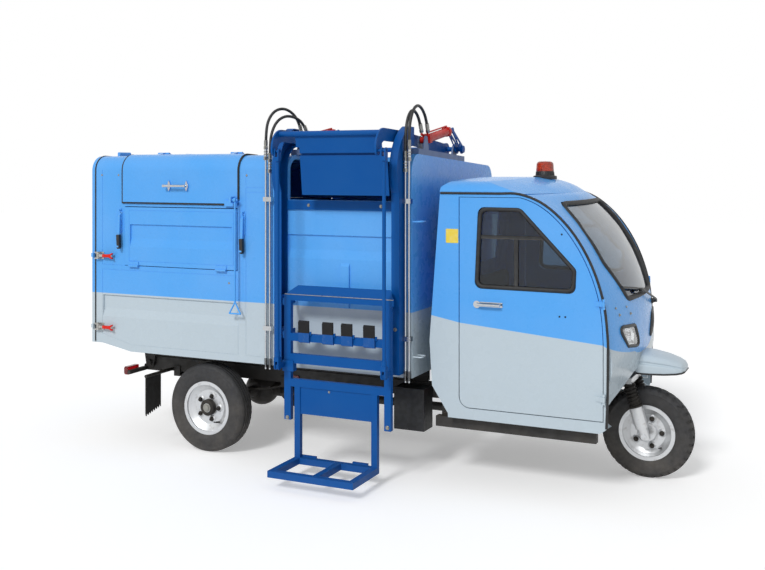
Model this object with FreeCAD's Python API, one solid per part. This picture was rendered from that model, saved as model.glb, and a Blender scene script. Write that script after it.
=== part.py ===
import FreeCAD, Part
import math
import os

# Three-wheeled refuse truck with a side bin lift. Millimetres. The model is drawn with X forward from
# the middle of the length, Y to the left of the centre plane and Z up from the ground, and is moved on
# export so that the origin is under the middle of its box.
export_shift = FreeCAD.Vector(47, 206, 0)
os.makedirs("parts", exist_ok=True)

# Wheels
front_axle_x = 1630
front_wheel_radius = 270
front_tyre_width = 118
rear_axle_x = -1070
rear_wheel_radius = 285
rear_tyre_width = 140
rear_wheel_y = 635

# Load box: flat sides, a roof that falls to the left, round top edges
box_half = 720
box_back = -1960
box_front = 400
box_bottom = 612
box_floor_top = 640
roof_edge_z = 1930
roof_fall = 0.05
roof_flat_half = 620
corner_radius = 100
wall = 28
gap = 5
pivot_above_roof = 23
lid_hinge_x = (-1560, -965)

# Side openings of the load box
lid_x = (-1722, -806)
lid_bottom = 1620
lid_roof_y = 495
lid_proud = 10
seam_depth = 1.5
kick_up = (-1661, -1901, 656)
flap_x = (-1706, -815)
flap_z = (1195, 1585)
mouth_x = (-438, 302)
mouth_bottom = 1650
mouth_roof_y = -330
latch_x = (-1744, -765)
clamp_z = (767, 1252)

# Chassis
rail_y = (370, 420)
rail_z = (440, 530)
cab_frame_z = (318, 378)
cab_beam_y = (545, 595)
flap_bar = (-1537, 455)
tip_axis = (-1720, 490)
tip_base = (-300, 400)
tip_eye = (-1000, 560)
tip_neck = 75
tail_bar = ((-1785, -1760), (430, 455))

# Cab
cab_half = 660
cab_panel = 25
cab_inner = cab_half - cab_panel
cab_top = 1698

# Steering axis: leans back by the rake angle and passes this point
rake = math.radians(17.3)
steer_point = (1580, 270)
leg_y = 112

# Bin lift
post_width = 50
post_rear_x = -490
post_front_x = 304
post_y = (-800, -720)
post_bottom = 640
swing_axis = (120, 1972)
arm_tip = (-960, 1945)
rod_x = (-370, 332)
rod_foot_z = 660
arm_plates_x = ((-400, -388), (284, 296))
ram_x = (-455, 378)
ram_base = (-500, 2015)
ram_lever = (-45, 2090)
ram_neck = 60
carriage_y = (-880, -850)
carriage_x = (-371, 337)
roller_y = -760
roller_z = (1040, 840)
comb_x = (-228, -66, 60, 205)

# Hydraulic lines
pipe_radius = 6.5
pipe_y = -742
pipe_rear_x = (-586, -556)
pipe_front_x = (368, 391)
hose_radius = 9


def vec(x, y, z):
    return FreeCAD.Vector(x, y, z)


def block(x, y, z):
    # box between two values on each axis
    return Part.makeBox(x[1] - x[0], y[1] - y[0], z[1] - z[0], vec(x[0], y[0], z[0]))


def rod(radius, start, end):
    a = vec(*start)
    b = vec(*end)
    return Part.makeCylinder(radius, (b - a).Length, a, b - a)


def joined(first, *others):
    return first.multiFuse(list(others)).removeSplitter()


def without(first, *others):
    return first.cut(list(others))


def outline_wire(points):
    # a point of three values marks the middle of an arc: (a, b, "via")
    edges = []
    loop = list(points) + [points[0]]
    start = loop[0]
    i = 1
    while i < len(loop):
        if len(loop[i]) == 3:
            edges.append(Part.Arc(vec(start[0], start[1], 0), vec(loop[i][0], loop[i][1], 0),
                                  vec(loop[i + 1][0], loop[i + 1][1], 0)).toShape())
            start = loop[i + 1]
            i += 2
        else:
            edges.append(Part.makeLine(vec(start[0], start[1], 0), vec(loop[i][0], loop[i][1], 0)))
            start = loop[i]
            i += 1
    return Part.Wire(edges)


def prism_z(points, z0, z1):
    face = Part.Face(outline_wire(points))
    face.translate(vec(0, 0, z0))
    return face.extrude(vec(0, 0, z1 - z0))


def prism_y(points, y0, y1):
    # outline in X and Z, pushed along Y
    solid = prism_z(points, -y1, -y0)
    solid.rotate(vec(0, 0, 0), vec(1, 0, 0), 90)
    return solid


def prism_x(points, x0, x1):
    # outline in Y and Z, pushed along X
    solid = prism_z(points, x0, x1)
    solid.rotate(vec(0, 0, 0), vec(1, 1, 1), 120)
    return solid


def turned_y(points, x, y, z, side=1):
    # outline of radius and offset, revolved about an axis along Y
    face = Part.Face(outline_wire(points))
    solid = face.revolve(vec(0, 0, 0), vec(0, 1, 0), 360)
    if side < 0:
        solid = solid.mirror(vec(0, 0, 0), vec(0, 1, 0))
    solid.translate(vec(x, y, z))
    return solid


def mirrored(shape):
    return shape.mirror(vec(0, 0, 0), vec(0, 1, 0))


def edges_along(shape, axis):
    found = []
    for edge in shape.Edges:
        ends = [v.Point for v in edge.Vertexes]
        if len(ends) == 2 and isinstance(edge.Curve, Part.Line):
            way = (ends[1] - ends[0]).normalize()
            if abs(way.dot(axis)) > 0.999:
                found.append(edge)
    return found


def pair(shape):
    # a piece and its mirror image as two solids that don't touch
    return Part.Compound([shape, mirrored(shape)])


def save(name, shape):
    moved = shape.copy()
    moved.translate(export_shift)
    moved.exportStep("parts/" + name + ".step")


# Wheels

def tyre(radius, width, rim_radius, rim_half):
    half = width / 2
    shoulder = radius - 22
    side = (rim_radius + 13, rim_half + 7)
    return [
        (rim_radius, -rim_half), (rim_radius, rim_half), (rim_radius + 13, rim_half), side,
        ((rim_radius + radius) / 2 - 5, half, "via"), (shoulder, half - 9), (radius, 0, "via"),
        (shoulder, 9 - half), ((rim_radius + radius) / 2 - 5, -half, "via"),
        (side[0], -side[1]), (side[0], -rim_half),
    ]


def rim(radius, half, dish, hub_radius, hub_in, hub_out, bore):
    # rolled rim with side flanges, a dished disc and a hub, as an outline of radius and offset
    return [
        (bore, hub_in), (hub_radius, hub_in), (hub_radius, dish - 8), (radius - 45, dish - 8),
        (radius - 22, dish + 4), (radius - 9, dish + 16), (radius - 9, -half - 7), (radius + 13, -half - 7),
        (radius + 13, -half), (radius, -half), (radius, half), (radius + 13, half), (radius + 13, half + 7),
        (radius - 9, half + 7), (radius - 9, dish + 24), (radius - 26, dish + 12), (radius - 48, dish),
        (hub_radius, dish), (hub_radius, hub_out - 8), (hub_radius - 8, hub_out), (bore, hub_out),
    ]


def wheel_holes(count, radius, hole, x, y, z):
    drills = []
    for i in range(count):
        turn = 2 * math.pi * i / count
        place = (x + radius * math.cos(turn), z + radius * math.sin(turn))
        drills.append(rod(hole, (place[0], y - 90, place[1]), (place[0], y + 90, place[1])))
    return drills


def stud_seats(radius, x, y, z, side):
    # cones pressed out of the disc round the five studs
    seats = []
    for i in range(5):
        turn = 2 * math.pi * i / 5
        foot = vec(x + radius * math.cos(turn), y, z + radius * math.sin(turn))
        seats.append(Part.makeCone(25, 15, 9, foot, vec(0, side, 0)))
    return seats


def make_rear_wheels():
    for name, side in (("right", -1), ("left", 1)):
        y = side * rear_wheel_y
        shape = turned_y(tyre(rear_wheel_radius, rear_tyre_width, 160, 50), rear_axle_x, y,
                         rear_wheel_radius)
        save("rear_tyre_" + name, shape)
        disc = turned_y(rim(160, 50, 20, 52, -55, 52, 25.3), rear_axle_x, y, rear_wheel_radius, side)
        disc = joined(disc, *stud_seats(78, rear_axle_x, y + side * 19, rear_wheel_radius, side))
        save("rear_rim_" + name, without(disc, *wheel_holes(5, 78, 7, rear_axle_x, y, rear_wheel_radius)))


def make_front_wheel():
    shape = turned_y(tyre(front_wheel_radius, front_tyre_width, 152, 40), front_axle_x, 0,
                     front_wheel_radius)
    save("front_tyre", shape)
    disc = turned_y(rim(152, 40, 10, 58, -48, 44, 8.3), front_axle_x, 0, front_wheel_radius, -1)
    disc = joined(disc, *stud_seats(84, front_axle_x, -9, front_wheel_radius, -1))
    save("front_rim", without(disc, *wheel_holes(5, 84, 8, front_axle_x, 0, front_wheel_radius)))


# Chassis and running gear

def make_chassis():
    # what runs lengthwise: both rails with their spring brackets, the cab's sills and the engine bearers
    pieces = []
    for side in (-1, 1):
        y = sorted((side * rail_y[0], side * rail_y[1]))
        rail = [block((tip_axis[0] + 20, 520), y, rail_z),
                block((tip_axis[0] - 15, tip_axis[0] + 70), y, (465, 515)),
                block((tail_bar[0][0], tip_axis[0] + 70), y, (tail_bar[1][0], 468)),
                block((470, 520), y, (cab_frame_z[0], rail_z[1])),
                rod(20, (tip_axis[0], side * rail_y[0], tip_axis[1]), (tip_axis[0], side * 460, tip_axis[1])),
                rod(11, (flap_bar[0], side * rail_y[0], flap_bar[1]), (flap_bar[0], side * 720, flap_bar[1]))]
        for eye_x in (-640, -1500):
            for cheek in ((362, 370), (420, 428)):
                cheek_y = sorted((side * cheek[0], side * cheek[1]))
                rail.append(block((eye_x - 25, eye_x + 25), cheek_y, (408, 480)))
            rail.append(rod(6, (eye_x, side * 362, 428), (eye_x, side * 428, 428)))
        pieces.append(joined(rail[0], *rail[1:]))
        pieces.append(block((500, 1455), sorted((side * cab_beam_y[0], side * cab_beam_y[1])), cab_frame_z))
        pieces.append(block((570, 980), sorted((side * 170, side * 200)), (cab_frame_z[0], 350)))
    save("chassis_frame", Part.Compound(pieces))


def make_cross_members():
    # what ties the rails and sills together, and what stands on it
    inner = rail_y[0]
    pieces = [block((x, x + 50), (-inner, inner), (450, 520)) for x in (-1600, -1300, 380)]
    pieces.append(rod(20, (tip_axis[0], -inner, tip_axis[1]), (tip_axis[0], inner, tip_axis[1])))
    pieces.append(rod(11, (flap_bar[0], -inner, flap_bar[1]), (flap_bar[0], inner, flap_bar[1])))
    base = [block((-270, -220), (-inner, inner), (450, 520))]
    x, z = tip_base
    for side in (-1, 1):
        base.append(prism_y([(x - 15, 368), (x - 24, z), (x, z + 24, "via"), (x + 15, z + 20), (x + 60, 460),
                             (x + 80, 460), (x + 80, 368)], *sorted((side * 25, side * 37))))
    base.append(rod(12, (x, -37, z), (x, 37, z)))
    pieces.append(joined(base[0], *base[1:]))
    for x in (520, 980):
        pieces.append(block((x, x + 50), (-cab_beam_y[0], cab_beam_y[0]), cab_frame_z))
    # bar across the tail, under the rails' ends
    pieces.append(block(tail_bar[0], (-605, -rail_y[1]), tail_bar[1]))
    pieces.append(block(tail_bar[0], (-rail_y[0], rail_y[0]), tail_bar[1]))
    pieces.append(block(tail_bar[0], (rail_y[1], 605), tail_bar[1]))
    # neck that carries the steering head
    neck = [block((1240, 1290), (-cab_beam_y[0], cab_beam_y[0]), cab_frame_z),
            block((1240, 1300), (-40, 40), (cab_frame_z[0], 770)),
            prism_y([(1290, 650), (1440, 650), (1440, 740), (1290, 770)], -30, 30),
            rod(34, along_steering(620), along_steering(800))]
    bore = rod(22.3, along_steering(600), along_steering(820))
    pieces.append(without(joined(neck[0], *neck[1:]), bore))
    save("cross_members", Part.Compound(pieces))


def along_steering(z):
    return (steer_point[0] - (z - steer_point[1]) * math.tan(rake), 0, z)


def make_rear_axle():
    z = rear_wheel_radius
    parts = [rod(38, (rear_axle_x, -548, z), (rear_axle_x, 548, z))]
    housing = [(0, -120), (60, -112), (104, -60, "via"), (118, 0), (104, 60, "via"), (60, 112), (0, 120)]
    parts.append(turned_y(housing, rear_axle_x, 0, z))
    for side in (-1, 1):
        parts.append(rod(112, (rear_axle_x, side * 530, z), (rear_axle_x, side * 548, z)))
        parts.append(rod(25, (rear_axle_x, side * 548, z), (rear_axle_x, side * 655, z)))
        pad_y = sorted((side * 368, side * 422))
        parts.append(block((rear_axle_x - 50, rear_axle_x + 50), pad_y, (z, 330)))
    parts.append(rod(48, (rear_axle_x + 60, 0, z), (rear_axle_x + 165, 0, z)))
    parts.append(rod(27, (rear_axle_x + 160, 0, z), (650, 0, z)))
    save("rear_axle", joined(parts[0], *parts[1:]))


def make_springs():
    mid = rear_axle_x
    leaves = [
        [(-1500, 414), (mid, 352, "via"), (-640, 414), (-640, 422), (mid, 360, "via"), (-1500, 422)],
        [(-1380, 388), (mid, 344.2, "via"), (-760, 388), (-760, 397.1), (mid, 353, "via"), (-1380, 397.1)],
        [(-1240, 352), (mid, 336.2, "via"), (-900, 352), (-900, 362), (mid, 346, "via"), (-1240, 362)],
    ]
    solids = [prism_y(outline, rail_y[0] + 3, rail_y[1] - 3) for outline in leaves]
    seat = block((mid - 50, mid + 50), (rail_y[0] + 3, rail_y[1] - 3), (330, 345))
    eyes = [rod(11.5, (x, rail_y[0] + 3, 428), (x, rail_y[1] - 3, 428)) for x in (-640, -1500)]
    holes = [rod(6.3, (x, rail_y[0], 428), (x, rail_y[1], 428)) for x in (-640, -1500)]
    save("leaf_springs", pair(without(joined(solids[0], *solids[1:], seat, *eyes), *holes)))


def make_engine():
    save("engine_block", block((650, 960), (-170, 170), (250, 600)))
    save("battery_box", block((212, 410), (-560, -425), (262, 515)))


def make_mud_flaps():
    # torn rubber sheets: the lower edge is ragged
    outline = [(-560, 444), (-560, 222)]
    for i in range(7):
        outline.append((-572 - 22 * i, 246 - 6 * i))
        outline.append((-582 - 22 * i, 218 - 5 * i))
    outline.append((-720, 205))
    outline.append((-720, 444))
    save("mud_flaps", pair(prism_x(outline, -1541, -1534)))


def make_tail_lamps():
    # a lamp at each end of the tail bar: a housing with a rim and a domed lens
    back = tail_bar[0][0]
    housing = block((back - 28, back), (-602, -482), (422, 478))
    housing = housing.makeFillet(9, edges_along(housing, vec(1, 0, 0)))
    lens = block((back - 40, back - 26), (-596, -488), (428, 472))
    lens = lens.makeFillet(7, [e for e in lens.Edges if e.CenterOfMass.x < back - 30])
    save("tail_lamps", pair(joined(housing, lens)))


# Cab

nose_stations = [
    (420, 1572, 1527), (660, 1602, 1531), (880, 1614, 1535), (1000, 1612, 1526), (1142, 1582, 1505),
    (1278, 1523, 1457), (1400, 1455, 1396), (1546, 1341, 1297), (1640, 1262, 1184), (1698, 1205, 1045),
]


def nose_form(outside, inside):
    # curved front skin lofted through level arcs, between two depths behind the outer face
    wires = []
    for z, middle, side in nose_stations:
        front = Part.Arc(vec(side - outside, -cab_inner, z), vec(middle - outside, 0, z),
                         vec(side - outside, cab_inner, z))
        back = Part.Arc(vec(side - inside, cab_inner, z), vec(middle - inside, 0, z),
                        vec(side - inside, -cab_inner, z))
        corners = [vec(side - outside, cab_inner, z), vec(side - inside, cab_inner, z),
                   vec(side - inside, -cab_inner, z), vec(side - outside, -cab_inner, z)]
        wires.append(Part.Wire([front.toShape(), Part.makeLine(corners[0], corners[1]), back.toShape(),
                                Part.makeLine(corners[2], corners[3])]))
    return Part.makeLoft(wires, True, False)


def screen_prism():
    solid = prism_x([(-470, 1650), (-505, 1480), (-495, 1310), (-335, 1085), (335, 1085), (495, 1310),
                     (505, 1480), (470, 1650)], 900, 1800)
    return solid.makeFillet(55, edges_along(solid, vec(1, 0, 0)))


def lamp_prism(side):
    outline = [(side * -525, 962), (side * -258, 944), (side * -150, 805), (side * -381, 833)]
    solid = prism_x(outline, 1400, 1800)
    return solid.makeFillet(22, edges_along(solid, vec(1, 0, 0)))


def make_cab_front():
    skin = nose_form(0, cab_panel)
    arch = prism_x([(-600, 380), (-560, 430), (-430, 580, "via"), (0, 655), (430, 580, "via"), (560, 430),
                    (600, 380)], 1300, 1800)
    skin = without(skin, screen_prism(), lamp_prism(1), lamp_prism(-1), arch)
    save("cab_front", skin)
    lamps = nose_form(-4, 60)
    save("headlamps", Part.Compound([lamps.common(lamp_prism(1)), lamps.common(lamp_prism(-1))]))


def make_cab_glass():
    screen = nose_form(8, 15).common(screen_prism())
    rear = prism_y([(530, 1240), (536, 1240), (563, 1590), (557, 1590)], -430, 430)
    save("cab_glass", Part.Compound([screen, rear]))


side_curve = [(1039, 1698), (1184, 1638), (1326, 1507), (1437, 1329), (1508, 1125), (1533, 930),
              (1535, 860)]
door_curve = [(1036, 1676), (1170, 1618), (1305, 1490), (1412, 1318), (1482, 1118), (1505, 930),
              (1507, 860)]


def curved_plate(before, curve, after, y0, y1):
    # flat plate whose outline runs straight, then along a smooth curve, then straight again
    spline = Part.BSplineCurve()
    spline.interpolate([vec(x, 0, z) for x, z in curve])
    corners = [vec(x, 0, z) for x, z in [curve[-1]] + after + before + [curve[0]]]
    edges = [spline.toShape()]
    for a, b in zip(corners, corners[1:]):
        edges.append(Part.makeLine(a, b))
    solid = Part.Face(Part.Wire(edges)).extrude(vec(0, y1 - y0, 0))
    solid.translate(vec(0, y0, 0))
    return solid


def door_form(grow, y0, y1):
    curve = [(x + grow * 0.8, z + grow * 0.6) for x, z in door_curve]
    solid = curved_plate([(675 - grow, 1676 + grow * 0.6)], curve,
                         [(1507 + grow * 0.8, 462 - grow), (675 - grow, 462 - grow)], y0, y1)
    corner = [e for e in edges_along(solid, vec(0, 1, 0))
              if e.CenterOfMass.z < 600 and e.CenterOfMass.x < 900]
    return solid.makeFillet(60 + grow, corner)


def window_prism():
    solid = prism_y([(788, 1622), (1039, 1620), (1362, 1284), (1356, 1149), (766, 1153)], -700, -600)
    return solid.makeFillet(40, edges_along(solid, vec(0, 1, 0)))


def make_cab_sides():
    before = [(603, 416), (503, 570), (487, 834), (553, 1698)]
    side = curved_plate(before, side_curve, [(1527, 420), (1492, 394), (603, 394)], -cab_half, -cab_inner)
    side = without(side, door_form(gap, -700, -600))
    for z in (1103, 585):
        side = joined(side, block((1509, 1522), (-679, -cab_half), (z - 28, z - 16)),
                      block((1509, 1522), (-679, -cab_half), (z + 16, z + 28)),
                      rod(5, (1514, -674, z - 28), (1514, -674, z + 28)))
    save("cab_sides", pair(side))


def make_doors():
    for name in ("right", "left"):
        panel = door_form(0, -cab_half, -cab_inner)
        panel = without(panel, window_prism())
        for z in (1103, 585):
            leaf = block((1468, 1508), (-666, -cab_half), (z - 14, z + 14))
            knuckle = rod(9, (1514, -674, z - 14), (1514, -674, z + 14))
            panel = joined(panel, leaf, block((1496, 1511), (-676, -664), (z - 14, z + 14)), knuckle)
            panel = without(panel, rod(5.3, (1514, -674, z - 20), (1514, -674, z + 20)))
        glass = window_prism().common(block((700, 1450), (-650, -645), (1100, 1700)))
        handle = joined(rod(6, (792, -664, 1064), (792, -690, 1064)),
                        rod(6, (918, -664, 1064), (918, -690, 1064)),
                        rod(7, (792, -690, 1064), (930, -690, 1064)),
                        block((800, 936), (-664, -cab_half), (1050, 1078)),
                        rod(21, (782, -665, 1062), (782, -cab_half, 1062)),
                        rod(11, (782, -672, 1062), (782, -cab_half, 1062)))
        if name == "left":
            panel = mirrored(panel)
            glass = mirrored(glass)
            handle = mirrored(handle)
        save("door_" + name, panel)
        save("door_glass_" + name, glass)
        save("door_handle_" + name, handle)


roof_stations = [
    (1640, 1262, 1184), (1698, 1205, 1045), (1722, 1177, 968), (1745, 1138, 872), (1768, 1073, 740),
    (1792, 965, 560),
]


def roof_nose(inset):
    # solid that ends the roof in front: the nose's level arcs carried on up to the crown
    wires = []
    for z, middle, side in roof_stations:
        arc = Part.Arc(vec(side - inset, -cab_half, z), vec(middle - inset, 0, z),
                       vec(side - inset, cab_half, z))
        back = [vec(400, cab_half, z), vec(400, -cab_half, z)]
        ends = [vec(side - inset, cab_half, z), vec(side - inset, -cab_half, z)]
        wires.append(Part.Wire([arc.toShape(), Part.makeLine(ends[0], back[0]),
                                Part.makeLine(back[0], back[1]), Part.makeLine(back[1], ends[1])]))
    return Part.makeLoft(wires, True, False)


def roof_form(inset, bottom):
    half = cab_half - inset
    plan = [(552 + inset, -half), (1045 - inset, -half), (1205 - inset, 0, "via"), (1045 - inset, half),
            (552 + inset, half)]
    side = [(500, bottom), (552 + inset, 1735 - inset), (640, 1786 - inset, "via"), (760, 1791 - inset),
            (1010, 1783 - inset, "via"), (1230 - inset, 1705 - inset), (1230 - inset, bottom)]
    front = [(-half, bottom), (-half, 1712 - inset), (-half + 40, 1752 - inset, "via"),
             (-half + 120, 1770 - inset), (0, 1791 - inset, "via"), (half - 120, 1770 - inset),
             (half - 40, 1752 - inset, "via"), (half, 1712 - inset), (half, bottom)]
    solid = prism_z(plan, bottom, 1830)
    solid = solid.common(prism_y(side, -cab_half, cab_half))
    solid = solid.common(prism_x(front, 400, 1400))
    return solid.common(roof_nose(inset))


def make_cab_roof():
    pad = rod(66, (996, 0, 1772), (996, 0, 1794))
    save("cab_roof", joined(without(roof_form(0, cab_top), roof_form(22, cab_top - 30)), pad))
    lamp = [(0, 1794), (62, 1794), (62, 1802), (52, 1808), (50, 1808), (46, 1852), (42, 1864, "via"),
            (30, 1869), (0, 1870)]
    turned = Part.Face(outline_wire(lamp)).revolve(vec(0, 0, 0), vec(0, 1, 0), 360)
    turned.rotate(vec(0, 0, 0), vec(1, 0, 0), 90)
    turned.translate(vec(996, 0, 0))
    save("beacon", turned)


def make_cab_back():
    wall_outline = [(487, 834), (553, cab_top), (575, cab_top), (509, 834), (525, 574), (622, 420),
                    (603, 416), (503, 570)]
    back = prism_y(wall_outline, -cab_inner, cab_inner)
    window = prism_y([(400, 1240), (700, 1240), (700, 1590), (400, 1590)], -430, 430)
    save("cab_back_wall", without(back, window))


def make_cab_floor():
    plate = [(622, 395), (1215, 395), (1215, 790), (1310, 850), (1495, 868), (1495, 888), (1303, 870),
             (1195, 800), (1195, 415), (622, 415)]
    floor = prism_y(plate, -cab_inner, cab_inner)
    seat_box = block((622, 1000), (-540, 540), (415, 690))
    hollow = block((642, 980), (-520, 520), (390, 670))
    stem_hole = rod(44, along_steering(780), along_steering(920))
    save("cab_floor", without(joined(floor, seat_box), hollow, stem_hole))
    cushion = block((640, 1010), (-420, 420), (690, 780))
    back = block((560, 636), (-420, 420), (790, 1180))
    cushion = cushion.makeFillet(28, [e for e in cushion.Edges if e.CenterOfMass.z > 700])
    back = back.makeFillet(24, back.Edges)
    save("seat_pads", Part.Compound([cushion, back]))


def make_mudguard():
    wires = []
    for x, half, top, low in ((1540, 150, 815, 640), (1700, 140, 778, 640), (1810, 112, 728, 645),
                              (1852, 70, 700, 655)):
        outer = Part.Arc(vec(x, -half, low), vec(x, 0, top), vec(x, half, low))
        inner = Part.Arc(vec(x, half - 8, low), vec(x, 0, top - 8), vec(x, 8 - half, low))
        wires.append(Part.Wire([outer.toShape(), Part.makeLine(vec(x, half, low), vec(x, half - 8, low)),
                                inner.toShape(), Part.makeLine(vec(x, 8 - half, low), vec(x, -half, low))]))
    guard = Part.makeLoft(wires, True, False)
    tip = prism_x([(-70, 655), (0, 700, "via"), (70, 655)], 1852, 1856)
    save("front_mudguard", without(joined(guard, tip), nose_form(0, 250)))


# Front fork and steering

def on_leg(z, side):
    x = front_axle_x - (z - front_wheel_radius) * math.tan(rake)
    return (x, side * leg_y, z)


def make_fork():
    parts = []
    for side in (-1, 1):
        parts.append(rod(40, on_leg(315, side), on_leg(432, side)))
        parts.append(rod(30, on_leg(250, side), on_leg(330, side)))
        parts.append(rod(29, on_leg(430, side), on_leg(560, side)))
        parts.append(rod(21, on_leg(555, side), on_leg(618, side)))
        parts.append(rod(16, (front_axle_x, side * 62, front_wheel_radius),
                         (front_axle_x, side * 150, front_wheel_radius)))
    parts.append(rod(8, (front_axle_x, -100, front_wheel_radius), (front_axle_x, 100, front_wheel_radius)))
    yoke = block((1440, 1560), (-145, 145), (572, 606))
    parts.append(yoke)
    parts.append(rod(22, along_steering(590), along_steering(985)))
    save("front_fork", joined(parts[0], *parts[1:]))
    grip = []
    for side in (-1, 1):
        grip.append(rod(11, (1352, 0, 1000), (1335, side * 160, 1040)))
        grip.append(rod(11, (1335, side * 160, 1040), (1245, side * 360, 1050)))
        grip.append(rod(17, (1290, side * 260, 1045), (1245, side * 360, 1050)))
    pod = block((1330, 1390), (-70, 70), (985, 1045))
    stem = rod(22.1, along_steering(590), along_steering(985))
    save("handlebar", without(joined(pod, *grip), stem))


# Load box

def roof_height(y):
    return roof_edge_z - roof_fall * (y + roof_flat_half)


def load_form(x, grow=0.0, bottom=box_bottom):
    # the box's section pushed along X, grown outwards by the given distance
    half = box_half + grow
    outline = [(-half, bottom), (-half, roof_height(-half) + grow), (half, roof_height(half) + grow),
               (half, bottom)]
    form = prism_x(outline, x[0], x[1])
    edges = [e for e in edges_along(form, vec(1, 0, 0)) if e.CenterOfMass.z > 1500]
    return form.makeFillet(corner_radius + grow, edges)


def lid_opening(side):
    y = sorted((side * 900, side * (lid_roof_y - gap)))
    return block((lid_x[0] - gap, lid_x[1] + gap), y, (lid_bottom - gap, 2100))


def flap_opening(side):
    y = sorted((side * 900, side * 600))
    return block((flap_x[0] - gap, flap_x[1] + gap), y, (flap_z[0] - gap, flap_z[1] + gap))


def trough(x, z, side, face=box_half):
    # long pressing with a sharp upper ledge that runs out gently below
    out = side * (face + 5)
    deep = side * (face - 12)
    return prism_x([(out, z[1]), (side * face, z[1]), (deep, z[1] - 4), (deep, z[0] + 55),
                    (side * face, z[0]), (out, z[0] - 20)], *x)


def seam(x, z, side, face=box_half):
    # narrow line pressed into a flat side, upright or level
    y = sorted((side * (face - seam_depth), side * (face + 5)))
    return block((x[0], x[1] + 3), y, (z[0], z[1] + 3))


def side_pressings(side):
    # the lines and troughs of one side: round the lower panel, beside the corner posts, in front of the lid
    low = kick_up[2] + 1
    lines = [seam((-1904, -833), (1157, 1157), side), seam((-807, -807), (low, 1131), side),
             seam((-1650, -807), (low, low), side), seam((-1904, -1904), (718, 1157), side),
             seam((-748, -748), (low, 1830), side), seam((-745, -500), (low, low), side),
             seam((-745, -500), (1722, 1722), side), seam((-745, -500), (1692, 1692), side),
             seam((-1904, -1904), (1190, 1830), side), seam((-1904, flap_x[0] - gap), (1190, 1190), side)]
    depth = sorted((side * (box_half - seam_depth), side * (box_half + 5)))
    lines.append(prism_y([(-1904, 721), (-1904, 718), (-1650, low), (-1650, low + 3)], *depth))
    lines.append(prism_y([(-833, 1160), (-833, 1157), (-807, 1131), (-804, 1131)], *depth))
    lines.append(trough((-1896, -807), (839, 986), side))
    lines.append(trough((post_rear_x + post_width, post_front_x), (1291, 1437), side))
    return lines


def kick_cut(shape, height):
    # takes the rising rear corner off what hangs below the load floor
    start, end, top = kick_up
    corner = prism_y([(start, 500), (start, box_bottom + height), (end, top + height),
                      (box_back - 10, top + height), (box_back - 10, 500)], -900, 900)
    return without(shape, corner)


def make_box():
    skin_x = (box_back, box_front - 25)
    skin = without(load_form(skin_x), load_form((box_back - 10, box_front), -wall, box_bottom - 10))
    mouth = block(mouth_x, (-900, mouth_roof_y), (mouth_bottom, 2100))
    skin = without(skin, lid_opening(-1), lid_opening(1), flap_opening(-1), flap_opening(1), mouth,
                   *side_pressings(-1), *side_pressings(1))
    skin = kick_cut(skin, 0)
    guide = prism_x([(-box_half, 1269), (-box_half - 12, 1250), (-box_half - 12, 1000), (-box_half, 1000)],
                    -67, -9)
    skin = joined(skin, guide)
    save("box_side_right", skin.common(block((-3000, 3000), (-900, -roof_flat_half), (0, 3000))))
    save("box_side_left", skin.common(block((-3000, 3000), (roof_flat_half, 900), (0, 3000))))
    roof = skin.common(block((-3000, 3000), (-roof_flat_half, roof_flat_half), (0, 3000)))
    for side in (-1, 1):
        for x in lid_hinge_x:
            roof = joined(roof, *roof_hinge_leaf(x, side))
    save("box_roof", roof)
    front = load_form((box_front - 25, box_front))
    save("box_front_wall", front)
    inner = box_half - wall
    start, end, top = kick_up
    thick = box_floor_top - box_bottom
    plate = [(box_back, top), (end, top), (start, box_bottom), (box_front - 25, box_bottom),
             (box_front - 25, box_floor_top), (start, box_floor_top), (end, top + thick),
             (box_back, top + thick)]
    parts = [prism_y(plate, -inner, inner)]
    for side in (-1, 1):
        y = sorted((side * rail_y[0], side * rail_y[1]))
        parts.append(block((tip_axis[0] - 20, 370), y, (rail_z[1] + gap, box_bottom)))
        parts.append(block((tip_axis[0] - 20, start), y, (box_bottom, box_bottom + 12)))
        ear_y = sorted((side * 426, side * 442))
        parts.append(prism_y([(tip_axis[0] - 60, box_bottom + 20), (tip_axis[0] - 32, 470),
                              (tip_axis[0], 452, "via"), (tip_axis[0] + 32, 470),
                              (tip_axis[0] + 60, box_bottom + 8)], *ear_y))
        eye_y = sorted((side * 24, side * 36))
        parts.append(block((tip_eye[0] - 35, tip_eye[0] + 35), eye_y, (540, box_bottom)))
    parts.append(block((tip_axis[0] - 40, tip_axis[0] + 40), (-442, 442), (540, box_bottom + 8)))
    bore = rod(20.3, (tip_axis[0], -500, tip_axis[1]), (tip_axis[0], 500, tip_axis[1]))
    save("box_floor", without(joined(parts[0], *parts[1:]), bore))


def gate_panel(z):
    # pressed field of the tailgate with slanted edges
    x = box_back - 33
    field = [(-590, z[0]), (590, z[0]), (590, z[1]), (-590, z[1])]
    small = [(-572, z[0] + 18), (572, z[0] + 18), (572, z[1] - 18), (-572, z[1] - 18)]
    outer = outline_wire(field)
    inner = outline_wire(small)
    inner.translate(vec(0, 0, 9))
    solid = Part.makeLoft([outer, inner], True, True)
    solid.rotate(vec(0, 0, 0), vec(1, 1, 1), 120)
    solid.translate(vec(x, 0, 0))
    return solid


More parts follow.
